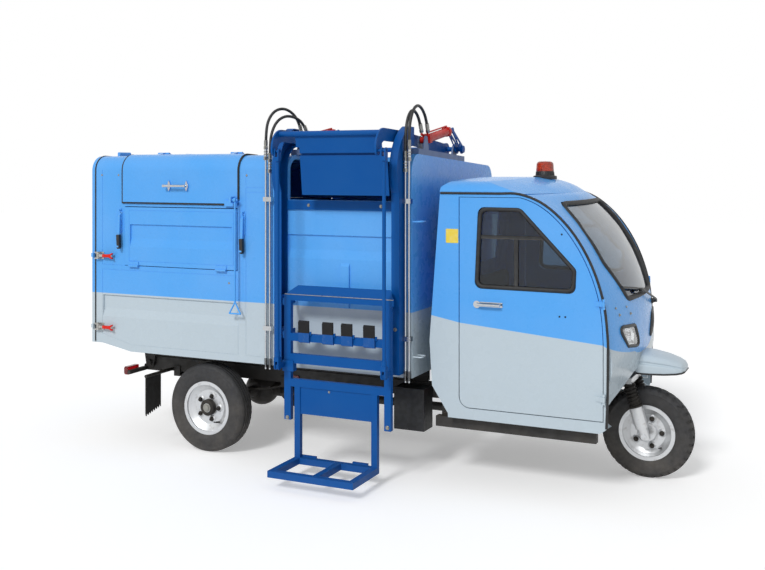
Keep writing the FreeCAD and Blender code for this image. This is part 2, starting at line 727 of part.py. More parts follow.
def make_tailgate():
    gate = load_form((box_back - 33, box_back - gap), 0, kick_up[2])
    gate = without(gate, *[gate_panel(z) for z in ((740, 1010), (1080, 1350), (1420, 1690))])
    for side in (-1, 1):
        y = sorted((side * box_half, side * (box_half + 14)))
        catches = [block((box_back - 30, box_back - 12), y, (z - 13, z + 13)) for z in clamp_z]
        gate = joined(gate, *catches)
    hinge = [rod(11, (box_back - 19, y - 60, 1950), (box_back - 19, y + 60, 1950)) for y in (-400, 400)]
    ears = [block((box_back - 30, box_back - 8), (y - 60, y + 60), (1870, 1950)) for y in (-400, 400)]
    save("tailgate", joined(gate, *hinge, *ears))


def lid_hinge_pin(x, side, radius):
    y = side * (lid_roof_y - 2)
    z = roof_height(y) + pivot_above_roof
    return rod(radius, (x - 45, y, z), (x + 45, y, z))


def lid_hinge_leaf(x, side):
    # the lid's half of a hinge: middle knuckle and a strap that lies on the lid
    y = side * (lid_roof_y - 2)
    z = roof_height(y) + pivot_above_roof
    strap = prism_x([(y, z + 8), (y, z + 2), (side * 555, roof_height(side * 555) + lid_proud - 2),
                     (side * 560, roof_height(side * 560) + lid_proud + 3)], x - 14, x + 14)
    return [strap, rod(8, (x - 14, y, z), (x + 14, y, z))]


def roof_hinge_leaf(x, side):
    # the roof's half: two outer knuckles on the pin and a foot welded to the roof
    y = side * (lid_roof_y - 2)
    z = roof_height(y) + pivot_above_roof
    foot_y = side * 430
    parts = [lid_hinge_pin(x, side, 4)]
    for a, b in ((x - 45, x - 15), (x + 15, x + 45)):
        parts.append(rod(8, (a, y, z), (b, y, z)))
        parts.append(prism_x([(y, z + 8), (y + side * 1, z - 6), (side * 484, roof_height(side * 484)),
                              (foot_y, roof_height(foot_y) - 2), (foot_y, roof_height(foot_y) + 5)], a, b))
    return parts


def make_lids():
    for name, side in (("right", -1), ("left", 1)):
        band = without(load_form(lid_x, lid_proud), load_form((-2000, 0), lid_proud - wall))
        y = sorted((side * 900, side * lid_roof_y))
        lid = band.common(block(lid_x, y, (lid_bottom, 2100)))
        bow_y = side * (box_half + 44)
        near = side * (box_half + lid_proud)
        handle = rod(7, (-1364, bow_y, 1730), (-1188, bow_y, 1730))
        for x in (-1335, -1195):
            foot_y = sorted((near, near + side * 7))
            foot = prism_y([(x, 1694), (x + 11, 1718), (x + 11, 1742), (x, 1766), (x - 11, 1742),
                            (x - 11, 1718)], *foot_y)
            handle = joined(handle, foot, rod(6, (x, near, 1730), (x, bow_y, 1730)))
        tab_y = sorted((near, side * (box_half + 62)))
        tab = block((-835, -821), tab_y, (1625, 1665))
        pin = rod(6, (-835, side * 765, 1645), (-781, side * 765, 1645))
        strike = block((-898, lid_x[1]), sorted((near, near + side * 9)), (1603, 1640))
        lid = joined(lid, handle, tab, pin, strike)
        for x in lid_hinge_x:
            lid = without(joined(lid, *lid_hinge_leaf(x, side)), lid_hinge_pin(x, side, 4.3))
        save("box_lid_" + name, lid)
        bar = joined(rod(6, (-800, side * 765, 1636), (-800, side * 765, 995)),
                     rod(14, (-808, side * 765, 1645), (-792, side * 765, 1645)),
                     rod(5, (-800, side * 765, 998), (-842, side * 765, 925)),
                     rod(5, (-800, side * 765, 998), (-758, side * 765, 925)),
                     rod(5, (-842, side * 765, 925), (-758, side * 765, 925)))
        save("pull_rod_" + name, without(bar, rod(6.3, (-830, side * 765, 1645), (-770, side * 765, 1645))))


def make_flaps():
    for name, side in (("right", -1), ("left", 1)):
        y = sorted((side * (box_half + 6), side * (box_half - wall + 6)))
        panel = block(flap_x, y, flap_z)
        face = side * (box_half + 6)
        cut = [trough((-1663, -850), (1320, 1471), side, box_half + 6)]
        for z in (1222, 1562):
            cut.append(seam((-1672, -838), (z, z), side, box_half + 6))
        for x in (-1672, -838):
            cut.append(seam((x, x), (1222, 1562), side, box_half + 6))
        panel = without(panel, *cut)
        knuckles = []
        for x in (-1630, -930):
            knuckles.append(rod(8, (x - 40, side * 734, 1190), (x + 40, side * 734, 1190)))
            strap_y = sorted((face, side * (box_half + 12)))
            knuckles.append(block((x - 40, x + 40), strap_y, (1190, 1219)))
        save("box_flap_" + name, joined(panel, *knuckles))


# Bin lift

def post_section():
    return [
        (post_y[1], post_bottom), (post_y[0], post_bottom), (post_y[0], 1700), (-822, 1890, "via"),
        (-640, 2095), (-578, 2092), (-578, 1985), (-625, 1975), (-693, 1930, "via"), (post_y[1], 1840),
    ]


def make_lift_frame():
    posts = []
    for x, open_side in ((post_rear_x, 1), (post_front_x, -1)):
        solid = prism_x(post_section(), x, x + post_width)
        inner = outline_wire(post_section()).makeOffset2D(-7)
        hollow = Part.Face(inner).extrude(vec(0, 0, post_width))
        hollow.translate(vec(0, 0, x + 7 * open_side))
        hollow.rotate(vec(0, 0, 0), vec(1, 1, 1), 120)
        posts.append(without(solid, hollow))
    sill = block((post_rear_x + post_width, post_front_x), (-731, -720), (1590, 1648))
    save("lift_posts", joined(posts[0], posts[1], sill))


def make_roof_mounts():
    pieces = []
    for x, beam, pedestal in ((ram_x[1], (335, 400), (335, 347)), (ram_x[0], (-480, -412), (-424, -412))):
        base = prism_x([(-615, roof_height(-615)), (160, roof_height(160)), (160, roof_height(160) + 34),
                        (-615, roof_height(-615) + 34)], *beam)
        mount = [base]
        for cheek in ((x - 24, x - 16), (x + 16, min(x + 24, beam[1]))):
            mount.append(prism_x([(-545, 1950), (-455, 1945), (-480, 2036), (-500, 2042, "via"),
                                  (-520, 2036)], *cheek))
        mount.append(rod(8, (x - 24, ram_base[0], ram_base[1]), (x + 20, ram_base[0], ram_base[1])))
        y, z = swing_axis
        stand = prism_x([(y - 50, 1915), (y + 38, 1910), (y + 28, z), (y, z + 30, "via"), (y - 28, z)],
                        *pedestal)
        mount.append(stand)
        hole = rod(16.3, (pedestal[0] - 5, y, z), (pedestal[1] + 5, y, z))
        pieces.append(without(joined(mount[0], *mount[1:]), hole))
    save("ram_mounts", Part.Compound(pieces))


def make_arms():
    y, z = swing_axis
    plate = [
        (y + 40, z), (y, z + 40, "via"), (y - 40, z + 36), (-640, 2070), (-880, 2078), (-968, 2030, "via"),
        (-988, 1945), (-960, 1917, "via"), (-932, 1945), (-914, 1985, "via"), (-872, 2003), (-620, 1995),
        (y - 40, z - 30), (y, z - 38, "via"),
    ]
    parts = [prism_x(plate, *x) for x in arm_plates_x]
    parts.append(rod(16, (-478, y, z), (402, y, z)))
    for x in ram_x:
        for cheek in ((x - 20, x - 13), (x + 13, x + 20)):
            lever = prism_x([(y + 30, z), (y, z - 30, "via"), (y - 30, z), (ram_lever[0] - 20, 2090),
                             (ram_lever[0], 2110, "via"), (ram_lever[0] + 20, 2090), (y + 20, z + 22)],
                            *cheek)
            window = prism_x([(-5, 2061), (69, 1992), (85, 2014)], cheek[0] - 1, cheek[1] + 1)
            parts.append(without(lever, window))
    parts.append(rod(24, (400, y, z), (410, y, z)))
    parts.append(rod(17, (-395, -900, 2050), (290, -900, 2050)))
    parts.append(rod(8, (-400, *arm_tip), (rod_x[0] + 13, *arm_tip)))
    parts.append(rod(8, (284, *arm_tip), (rod_x[1] + 13, *arm_tip)))
    cover = prism_x([(-896, 2040), (-853, 1685), (-848, 1685), (-891, 2040)], -285, 315)
    cover = without(cover, block((-500, -262), (-1000, -800), (1600, 1970)),
                    block((284, 400), (-1000, -800), (1915, 2100)),
                    block((-262, 255), (-1000, -800), (1921, 1935)))
    # channel behind the slot
    parts.append(prism_x([(-882, 1917), (-860, 1917), (-860, 1939), (-884, 1939), (-884, 1935), (-864, 1935),
                          (-864, 1921), (-881, 1921)], -262, 255))
    parts.append(cover)
    save("lift_arms", joined(parts[0], *parts[1:]))


def fork_end(x, z, toward):
    # slotted fork: two round-ended cheeks on a block, open away from the rod
    y = arm_tip[0]
    cheeks = []
    for edge in (x - 16, x + 8):
        cheeks.append(prism_x([(y - 17, z + toward * 36), (y - 17, z), (y, z - toward * 18, "via"),
                               (y + 17, z), (y + 17, z + toward * 36)], edge, edge + 8))
    root = block((x - 16, x + 16), (y - 17, y + 17), sorted((z + toward * 32, z + toward * 58)))
    return cheeks + [root]


def make_tie_rods():
    rods = []
    for x in rod_x:
        y = arm_tip[0]
        shape = joined(rod(11, (x, y, arm_tip[1] - 40), (x, y, rod_foot_z + 40)),
                       *fork_end(x, arm_tip[1], -1), *fork_end(x, rod_foot_z, 1),
                       rod(15, (x, y, 716), (x, y, 752)))
        rods.append(without(shape, rod(8.3, (x - 20, y, arm_tip[1]), (x + 20, y, arm_tip[1]))))
    save("tie_rods", Part.Compound(rods))


def make_carriage():
    x0, x1 = carriage_x
    back, near = carriage_y[1], carriage_y[0]
    parts = []
    for x in ((x0, x0 + 45), (x1 - 42, x1)):
        parts.append(block(x, (near, back), (330, 1085)))
    for z in ((807, 853), (672, 730), (532, 578)):
        parts.append(block((x0, x1), (near, back), z))
    parts.append(block((-285, 250), (near + 6, back - 6), (372, 540)))
    for x in ((-300, -262), (212, 250)):
        parts.append(block(x, (near, back), (80, 560)))
    shield = prism_x([(near, 1050), (near, 1088), (-836, 1138), (-836, 1132), (-874, 1085), (-874, 1050)],
                     x0 + 5, x1 + 18)
    for x, inner_x in ((x0 + 4, -291), (x1 + 19, 313)):
        corner = prism_z([(x, -884), (inner_x, -830), (x, -830)], 1092, 1150)
        shield = without(shield, corner)
    parts.append(shield)
    parts.append(block((x0 - 8, x0 + 66), (near - 7, back + 4), (623, 688)))
    for x in comb_x:
        parts.append(block((x + 36, x + 46), (near - 9, near), (848, 870)))
    foot_y = (-1190, near)
    for x in ((-300, -262), (212, 250)):
        parts.append(block(x, foot_y, (72, 110)))
    parts.append(block((-300, 250), (-1190, -1152), (72, 110)))
    parts.append(block((-20, 18), foot_y, (72, 110)))
    for x in ((-271, -169), (75, 174)):
        parts.append(block(x, (back, back + 14), (84, 118)))
    parts.append(block((-300, 250), (near - 8, back), (72, 110)))
    for z in roller_z:
        parts.append(block((x0 - 10, x0), (near, roller_y + 15), (z - 22, z + 22)))
        parts.append(block((x1 - 52, x1 - 42), (near, roller_y + 15), (z - 22, z + 22)))
        parts.append(rod(8, (x0, roller_y, z), (-478, roller_y, z)))
        parts.append(rod(28, (-478, roller_y, z), (-446, roller_y, z)))
        parts.append(rod(8, (x1 - 52, roller_y, z), (342, roller_y, z)))
        parts.append(rod(28, (310, roller_y, z), (342, roller_y, z)))
    for x in rod_x:
        parts.append(block((x - 4, x + 4), (arm_tip[0] - 14, near + 2), (rod_foot_z - 14, rod_foot_z + 14)))
    save("lift_carriage", joined(parts[0], *parts[1:]))
    pads = []
    for x in comb_x:
        pads.append(prism_x([(near, 800), (near - 16, 806), (near - 20, 925), (near - 10, 935),
                             (near - 8, 860), (near, 853)], x - 36, x + 36))
    save("comb_pads", Part.Compound(pads))


def tilted_ram(base, tip, x, barrel_radius, rod_radius, barrel_reach, eye_width, bore):
    # barrel and rod of a cylinder that lies in a plane of constant X, given as Y and Z of its pins
    start = vec(x, *base)
    end = vec(x, *tip)
    way = (end - start).normalize()
    mouth = start + way * barrel_reach
    across = vec(eye_width / 2, 0, 0)
    barrel = Part.makeCylinder(barrel_radius, barrel_reach - ram_neck, start + way * ram_neck, way)
    barrel = barrel.fuse(Part.makeCylinder(barrel_radius + 4, 26, mouth - way * 26, way))
    barrel = barrel.fuse(Part.makeCylinder(eye_width / 2 - 1, ram_neck + 5, start, way))
    barrel = barrel.fuse(Part.makeCylinder(20, eye_width, start - across, vec(1, 0, 0)))
    barrel = barrel.cut(Part.makeCylinder(rod_radius + 0.3, barrel_reach, start + way * (ram_neck + 12), way))
    barrel = barrel.cut(Part.makeCylinder(bore, eye_width + 4, start - across - vec(2, 0, 0), vec(1, 0, 0)))
    length = (end - start).Length
    shaft = Part.makeCylinder(rod_radius, length - ram_neck - 15, start + way * (ram_neck + 15), way)
    shaft = shaft.fuse(Part.makeCylinder(18, eye_width, end - across, vec(1, 0, 0)))
    return barrel.removeSplitter(), shaft.removeSplitter()


def ram_ports(x, hoses):
    # square end blocks, the tube that carries oil to the far end, and a port below each hose's end
    start = vec(x, *ram_base)
    way = (vec(x, *ram_lever) - start).normalize()
    up = vec(0, -way.z, way.y)
    parts = []
    for low, high in ((51, 86), (381, 403)):
        corners = [start + way * a + up * b - vec(26, 0, 0)
                   for a, b in ((low, -25), (high, -25), (high, 30), (low, 30))]
        face = Part.Face(Part.makePolygon(corners + [corners[0]]))
        parts.append(face.extrude(vec(52, 0, 0)))
    a = start + way * 78 + up * 37
    b = start + way * 392 + up * 37
    parts.append(Part.makeCylinder(5, (b - a).Length, a, way))
    for end in (a, b):
        parts.append(Part.makeCylinder(7, 14, end - up * 10, up))
    for place, y, z in hoses:
        # the port stays below the hose's end as the cylinder swings
        drop = 5 + 0.12 * (y - start.y)
        knee = vec(place, y, z - drop - 8)
        foot = vec(place, start.y + 55, 2040)
        parts.append(Part.makeCylinder(8, 8, knee, vec(0, 0, 1)))
        parts.append(Part.makeSphere(8, knee))
        parts.append(Part.makeCylinder(8, (foot - knee).Length, knee, foot - knee))
    return parts


def make_lift_rams():
    barrels = []
    rods = []
    for x in ram_x:
        barrel, shaft = tilted_ram(ram_base, ram_lever, x, 27, 11, 415, 24, 8.3)
        near = [route[-1] for route in hose_routes.values() if abs(route[-1][0] - x) < 50]
        ports = joined(barrel, *ram_ports(x, near))
        way = (vec(x, *ram_lever) - vec(x, *ram_base)).normalize()
        inside = Part.makeCylinder(11.3, 400, vec(x, *ram_base) + way * (ram_neck + 12), way)
        barrels.append(without(ports, inside))
        rods.append(shaft)
    save("lift_ram_barrels", Part.Compound(barrels))
    save("lift_ram_rods", Part.Compound(rods))


def make_tip_ram():
    start = vec(tip_base[0], 0, tip_base[1])
    end = vec(tip_eye[0], 0, tip_eye[1])
    way = (end - start).normalize()
    reach = 650
    half = vec(0, 22, 0)
    barrel = Part.makeCylinder(42, reach - tip_neck, start + way * tip_neck, way)
    barrel = barrel.fuse(Part.makeCylinder(19, tip_neck + 5, start, way))
    barrel = barrel.fuse(Part.makeCylinder(26, 44, start - half, vec(0, 1, 0)))
    barrel = barrel.cut(Part.makeCylinder(20.3, reach, start + way * (tip_neck + 15), way))
    barrel = barrel.cut(Part.makeCylinder(12.3, 60, start - vec(0, 30, 0), vec(0, 1, 0)))
    length = (end - start).Length
    shaft = Part.makeCylinder(20, length - tip_neck - 20, start + way * (tip_neck + 20), way)
    shaft = shaft.fuse(Part.makeCylinder(26, 44, end - half, vec(0, 1, 0)))
    save("tip_ram_barrel", barrel.removeSplitter())
    save("tip_ram_rod", shaft.removeSplitter())


# Hydraulic lines

hose_routes = {
    "lift_hose_rear_a": [(-586, -742, 1965), (-586, -742, 2055), (-584, -722, 2145), (-565, -672, 2210),
                         (-534, -608, 2228), (-504, -545, 2198), (-484, -503, 2138), (-476, -484, 2070)],
    "lift_hose_rear_b": [(-556, -742, 1885), (-556, -742, 1975), (-554, -730, 2065), (-540, -690, 2140),
                         (-514, -628, 2178), (-482, -560, 2172), (-455, -500, 2135), (-442, -470, 2070)],
    "lift_hose_front_a": [(368, -742, 1890), (368, -742, 1980), (368, -735, 2070), (368, -705, 2150),
                          (368, -645, 2195), (367, -575, 2180), (366, -520, 2125), (366, -492, 2065)],
    "lift_hose_front_b": [(391, -742, 1955), (391, -742, 2045), (391, -722, 2130), (392, -675, 2200),
                          (393, -605, 2225), (394, -535, 2195), (393, -480, 2135), (391, -452, 2065)],
}


def bent_tube(points, radius):
    # straight runs joined by tangent arcs, each as large as its two runs allow
    spots = [vec(*p) for p in points]
    edges = []
    start = spots[0]
    smallest = 1e9
    for i in range(1, len(spots) - 1):
        back = spots[i - 1] - spots[i]
        ahead = spots[i + 1] - spots[i]
        turn = math.pi - back.getAngle(ahead)
        reach = 0.45 * min(back.Length, ahead.Length)
        bend = reach / math.tan(turn / 2)
        smallest = min(smallest, bend)
        a = spots[i] + back.normalize() * reach
        b = spots[i] + ahead.normalize() * reach
        middle = (back + ahead).normalize()
        depth = bend / math.cos(turn / 2) - bend
        edges.append(Part.makeLine(start, a))
        edges.append(Part.Arc(a, spots[i] + middle * depth, b).toShape())
        start = b
    edges.append(Part.makeLine(start, spots[-1]))
    path = Part.Wire(edges)
    ring = Part.Wire(Part.makeCircle(radius, spots[0], spots[1] - spots[0]))
    tube = path.makePipeShell([ring], True, False)
    return tube, path.Length, smallest


def make_hoses():
    for name, route in hose_routes.items():
        tube, length, smallest = bent_tube(route, hose_radius)
        share = tube.Volume / (math.pi * hose_radius ** 2 * length)
        print(name, "length", round(length), "smallest bend", round(smallest), "volume share",
              round(share, 4))
        save(name, tube)


def make_pipes():
    parts = []
    for xs, tops in ((pipe_rear_x, (1965, 1885)), (pipe_front_x, (1890, 1955))):
        group = []
        for x, top in zip(xs, tops):
            group.append(rod(pipe_radius, (x, pipe_y, 590), (x, pipe_y, top)))
            group.append(rod(11, (x, pipe_y, top - 70), (x, pipe_y, top)))
        for z in (846, 1652):
            group.append(block((xs[0] - 14, xs[1] + 14), (pipe_y - 12, -box_half), (z - 14, z + 14)))
        parts.append(joined(group[0], *group[1:]))
    save("lift_pipes", Part.Compound(parts))


def flap_latch(x, side):
    # over-centre latch: a base plate, a bent lever that ends in a long grip, and the hook's knob
    face = side * box_half
    base = block((x - 15, x + 15), sorted((face, face + side * 5)), (1424, 1556))
    lever = prism_x([(face + side * 4, 1548), (face + side * 24, 1530), (face + side * 28, 1440),
                     (face + side * 34, 1330), (face + side * 28, 1308, "via"), (face + side * 20, 1326),
                     (face + side * 15, 1430), (face + side * 10, 1494), (face + side * 4, 1504)],
                    x - 9, x + 9)
    knob = rod(6, (x, face, 1563), (x, face + side * 26, 1563))
    return joined(base, lever, knob, block((x - 6, x + 6), sorted((face, face + side * 6)), (1550, 1574)))


def gate_clamp(z, side):
    # toggle clamp: a base plate, two cheeks, a lever towards the front and a loop towards the tailgate
    face = side * box_half
    base = block((-1952, -1888), sorted((face, face + side * 5)), (z - 24, z + 24))
    parts = [base]
    for a, b in ((z - 16, z - 12), (z + 12, z + 16)):
        parts.append(prism_z([(-1946, face), (-1940, face + side * 30), (-1905, face + side * 34),
                              (-1892, face)], a, b))
    parts.append(rod(5, (-1926, face + side * 22, z - 20), (-1926, face + side * 22, z + 20)))
    parts.append(block((-1912, -1800), sorted((face + side * 20, face + side * 32)), (z - 8, z + 8)))
    for a, b in ((z - 24, z - 18), (z + 18, z + 24)):
        parts.append(block((-1956, -1920), sorted((face + side * 18, face + side * 25)), (a, b)))
    return joined(parts[0], *parts[1:])


def make_latches():
    pieces = []
    for side in (-1, 1):
        for x in latch_x:
            pieces.append(flap_latch(x, side))
        for z in clamp_z:
            pieces.append(gate_clamp(z, side))
    save("latches", Part.Compound(pieces))


make_rear_wheels()
make_front_wheel()
make_chassis()
make_cross_members()
make_rear_axle()
make_springs()
make_engine()
make_mud_flaps()
make_tail_lamps()
make_cab_front()
make_cab_glass()
make_cab_sides()
make_doors()
make_cab_roof()
make_cab_back()
make_cab_floor()
make_mudguard()
make_fork()
make_box()
make_tailgate()
make_lids()
make_flaps()
make_lift_frame()
make_roof_mounts()
make_arms()
make_tie_rods()
make_carriage()
make_lift_rams()
make_tip_ram()
make_pipes()
make_latches()
make_hoses()
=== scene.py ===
import math
import bpy
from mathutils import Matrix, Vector


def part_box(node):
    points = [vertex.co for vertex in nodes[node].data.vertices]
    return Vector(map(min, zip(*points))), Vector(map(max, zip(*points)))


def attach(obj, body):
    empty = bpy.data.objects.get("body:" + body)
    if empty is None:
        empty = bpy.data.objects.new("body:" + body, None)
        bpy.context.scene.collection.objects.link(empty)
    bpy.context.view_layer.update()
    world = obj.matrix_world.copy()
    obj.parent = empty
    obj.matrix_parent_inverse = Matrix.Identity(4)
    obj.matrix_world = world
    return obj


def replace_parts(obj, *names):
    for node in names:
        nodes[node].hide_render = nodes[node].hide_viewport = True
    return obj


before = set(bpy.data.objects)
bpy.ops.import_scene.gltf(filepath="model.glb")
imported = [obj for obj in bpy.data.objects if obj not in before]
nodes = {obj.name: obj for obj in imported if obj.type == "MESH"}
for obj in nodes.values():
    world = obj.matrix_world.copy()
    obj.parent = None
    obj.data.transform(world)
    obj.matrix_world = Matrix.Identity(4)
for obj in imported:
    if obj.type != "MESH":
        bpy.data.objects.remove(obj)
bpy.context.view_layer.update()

sides = {"right": -1, "left": 1}

# The truck's own coordinates: x from the middle of its length, y from its centre plane, z from the ground
axles = {"rear": (-1.070, 0.635, 0.285), "front": (1.630, 0, 0.270)}
rearTyre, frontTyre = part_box("rear_tyre_right"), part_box("front_tyre")
midX = (rearTyre[0].x + rearTyre[1].x) / 2 - axles["rear"][0]
midY = (frontTyre[0].y + frontTyre[1].y) / 2


def spot(x, y, z):                       # the truck's coordinates to the frame's
    return Vector((x + midX, y + midY, z))


def wheelCentre(axle, s=1):
    x, y, z = axles[axle]
    return spot(x, s * y, z)


# Materials

def linear(hexColour):
    parts = [int(hexColour[i:i + 2], 16) / 255 for i in (1, 3, 5)]
    return tuple(c / 12.92 if c <= 0.04045 else ((c + 0.055) / 1.055) ** 2.4 for c in parts) + (1.0,)


def setSockets(owner, node, sockets):
    # each socket takes a plain value or the output of another node
    for socket, value in sockets.items():
        if isinstance(value, bpy.types.NodeSocket):
            owner.node_tree.links.new(value, node.inputs[socket])
        else:
            node.inputs[socket].default_value = value


def addNode(owner, kind, sockets=None, **settings):
    node = owner.node_tree.nodes.new(kind)
    for name, value in settings.items():
        setattr(node, name, value)
    setSockets(owner, node, sockets or {})
    return node


def newMaterial(name):
    material = bpy.data.materials.new(name)
    material.use_nodes = True
    return material


def feed(material, sockets):
    # gives the material's shader its values and outputs
    setSockets(material, material.node_tree.nodes["Principled BSDF"], sockets)
    return material


def place(material):                     # position on the object, in metres
    return addNode(material, "ShaderNodeTexCoord").outputs["Object"]


def split(material, source):             # the x, y and z of a vector
    return addNode(material, "ShaderNodeSeparateXYZ", {0: source}).outputs


def compute(owner, operation, a, b):
    return addNode(owner, "ShaderNodeMath", {0: a, 1: b}, operation=operation).outputs[0]


def spread(owner, source, fromLow, fromHigh, toLow, toHigh):
    return addNode(owner, "ShaderNodeMapRange", {"Value": source, "From Min": fromLow, "From Max": fromHigh,
                                                 "To Min": toLow, "To Max": toHigh}).outputs[0]


def blotches(material, size, detail, roughness=0.55, stretch=(1, 1, 1)):
    # soft noise whose largest spots measure about size metres
    mapping = addNode(material, "ShaderNodeMapping", {"Vector": place(material), "Scale": stretch})
    return addNode(material, "ShaderNodeTexNoise", {"Vector": mapping.outputs[0], "Scale": 1 / size,
                                                    "Detail": detail, "Roughness": roughness}).outputs["Fac"]


def patchy(material, size, detail, low, high, span=(0.3, 0.7), roughness=0.55, stretch=(1, 1, 1)):
    # a value that goes from low to high in blotches, over this span of the noise
    return spread(material, blotches(material, size, detail, roughness, stretch), *span, low, high)


def blendColours(material, amount, *colours):
    # each of the two colours is a hex text or the output of another node
    first, second = [linear(c) if isinstance(c, str) else c for c in colours]
    return addNode(material, "ShaderNodeMix", {"Factor": amount, 6: first, 7: second},
                   data_type="RGBA").outputs[2]


def bump(material, height, distance, strength=0.5):
    return addNode(material, "ShaderNodeBump", {"Height": height, "Strength": strength,
                                                "Distance": distance}).outputs[0]


def grain(material, size, detail, distance, strength=0.5):
    return bump(material, blotches(material, size, detail), distance, strength)


def roadDust(material, colour, top, most):
    # dust thickens towards the ground and gathers in soft patches
    low = spread(material, split(material, place(material))[2], 0.0, top, most, 0.0)
    patches = patchy(material, 0.11, 6.0, 0.25, 1.0, (0.35, 0.7))
    return blendColours(material, compute(material, "MULTIPLY", low, patches), colour, "#8C8377")


def makeFinish(name, colours, tone, rough, relief=None, dust=None, metallic=0.0):
    # the first colour turns into the second in blotches, with uneven gloss and a fine grain
    material = newMaterial(name)
    paint = blendColours(material, patchy(material, *tone), *colours)
    if dust:
        paint = roadDust(material, paint, *dust)
    if relief:
        feed(material, {"Normal": grain(material, *relief)})
    return feed(material, {"Base Color": paint, "Roughness": patchy(material, *rough), "Metallic": metallic})


bodyPaint = {
    "upper": "#55A7F1", "lower": "#BCCAD3", "faded": "#E6EFF5", "lift": "#00509A",
    "boxLine": 0.997,                    # height of the colour line on the load box
    "cabLine": ((0.400, 0.997), (0.490, 0.984), (0.678, 0.949), (1.508, 0.877),
                (1.540, 0.856), (1.580, 0.813), (1.600, 0.790), (1.607, 0.761)),   # x and height
    "lineBlur": 0.0008, "orangePeel": 0.0035,
    "clampEnd": (-1.786, -1.784),        # x where bare clamps end and painted latches begin
    "combRubber": (0.861, 0.862),        # height where the comb's rubber begins
}


def makeTwoToneEnamel():
    # sprayed alkyd enamel, two colours: glossy with a faint orange peel and a film of dust low down
    material = newMaterial("TwoToneEnamel")
    axes = split(material, place(material))
    line, blur = bodyPaint["boxLine"], bodyPaint["lineBlur"]
    steps = bodyPaint["cabLine"]
    for (x0, z0), (x1, z1) in zip(steps, steps[1:]):
        line = compute(material, "ADD", spread(material, axes[0], x0 + midX, x1 + midX, 0.0, z1 - z0), line)
    above = spread(material, compute(material, "SUBTRACT", axes[2], line), -blur, blur, 0.0, 1.0)
    paint = blendColours(material, above, bodyPaint["lower"], bodyPaint["upper"])
    fade = patchy(material, 0.45, 3.0, 0.0, 0.04, (0.35, 0.65))
    paint = roadDust(material, blendColours(material, fade, paint, bodyPaint["faded"]), 0.7, 0.14)
    return feed(material, {"Base Color": paint, "Roughness": patchy(material, 0.09, 5.0, 0.22, 0.34),
                           "Specular IOR Level": 0.22, "Coat Weight": 0.08, "Coat Roughness": 0.08,
                           "Normal": grain(material, bodyPaint["orangePeel"], 2.0, 0.00025)})


def makePlainEnamel(name, colour, scuff, scuffAmount, roughness=0.32, dustTop=0.7, dust=0.35):
    # brushed or sprayed enamel on welded steel: semi-gloss, scuffed where bins and boots rub it
    material = newMaterial(name)
    paint = blendColours(material, patchy(material, 0.2, 3.0, 0.0, 0.08, (0.35, 0.65)), colour, scuff)
    marks = patchy(material, 0.035, 9.0, 0.0, scuffAmount, (0.66, 0.72), 0.7, (1, 1, 0.35))
    paint = roadDust(material, blendColours(material, marks, paint, scuff), dustTop, dust)
    return feed(material, {"Base Color": paint,
                           "Roughness": patchy(material, 0.06, 6.0, roughness, roughness + 0.16),
                           "Specular IOR Level": 0.16, "Coat Weight": 0.02,
                           "Normal": grain(material, 0.004, 3.0, 0.0003)})


def makePlated(name, colour, roughness, pitting):
    # chrome or zinc plate on steel: bright, with a little haze and pitting
    return makeFinish(name, (colour, "#8E8B86"), (0.012, 8.0, 0.0, 0.35, (0.5, 0.75)),
                      (0.03, 6.0, roughness, roughness + pitting, (0.35, 0.7)),
                      (0.006, 4.0, 0.0001, 0.4), metallic=1.0)


def makeRubber(name, colour="#141416", roughness=0.55):
    # extruded rubber seal or moulded grip: black with a soft grey bloom
    return makeFinish(name, (colour, "#3A3B3D"), (0.03, 6.0, 0.0, 0.5, (0.4, 0.75)),
                      (0.015, 5.0, roughness, roughness + 0.2), (0.0025, 4.0, 0.0002))


def makeChassisBlack():
    # black chassis paint under the truck: dull, caked with pale dust low down and on ledges
    material = newMaterial("ChassisBlack")
    paint = blendColours(material, patchy(material, 0.08, 6.0, 0.0, 0.5, (0.4, 0.7)), "#121213", "#242321")
    upward = split(material, addNode(material, "ShaderNodeNewGeometry").outputs["Normal"])[2]
    ledge = compute(material, "MULTIPLY", spread(material, upward, 0.5, 1.0, 0.0, 0.4),
                    patchy(material, 0.05, 7.0, 0.2, 1.0, (0.4, 0.65)))
    paint = roadDust(material, blendColours(material, ledge, paint, "#7D7467"), 0.7, 0.22)
    return feed(material, {"Base Color": paint, "Roughness": patchy(material, 0.04, 6.0, 0.45, 0.75),
                           "Normal": grain(material, 0.006, 5.0, 0.0006)})


def makeClear(name, colour, film, through, bending):
    # light passes through it, softened by an uneven film on the surface
    material = newMaterial(name)
    return feed(material, {"Base Color": linear(colour), "Transmission Weight": through, "IOR": bending,
                           "Roughness": patchy(material, *film)})


def makeGlass(name, colour):
    # flat safety glass: faintly blue-grey, with a film of wiped dust
    return makeClear(name, colour, (0.15, 5.0, 0.02, 0.1, (0.4, 0.8)), 1.0, 1.45)


def makeLampLens(name, colour, clear=0.75):
    # clear or coloured polycarbonate lens: glossy, lets light in
    return makeClear(name, colour, (0.02, 4.0, 0.02, 0.08), clear, 1.58)


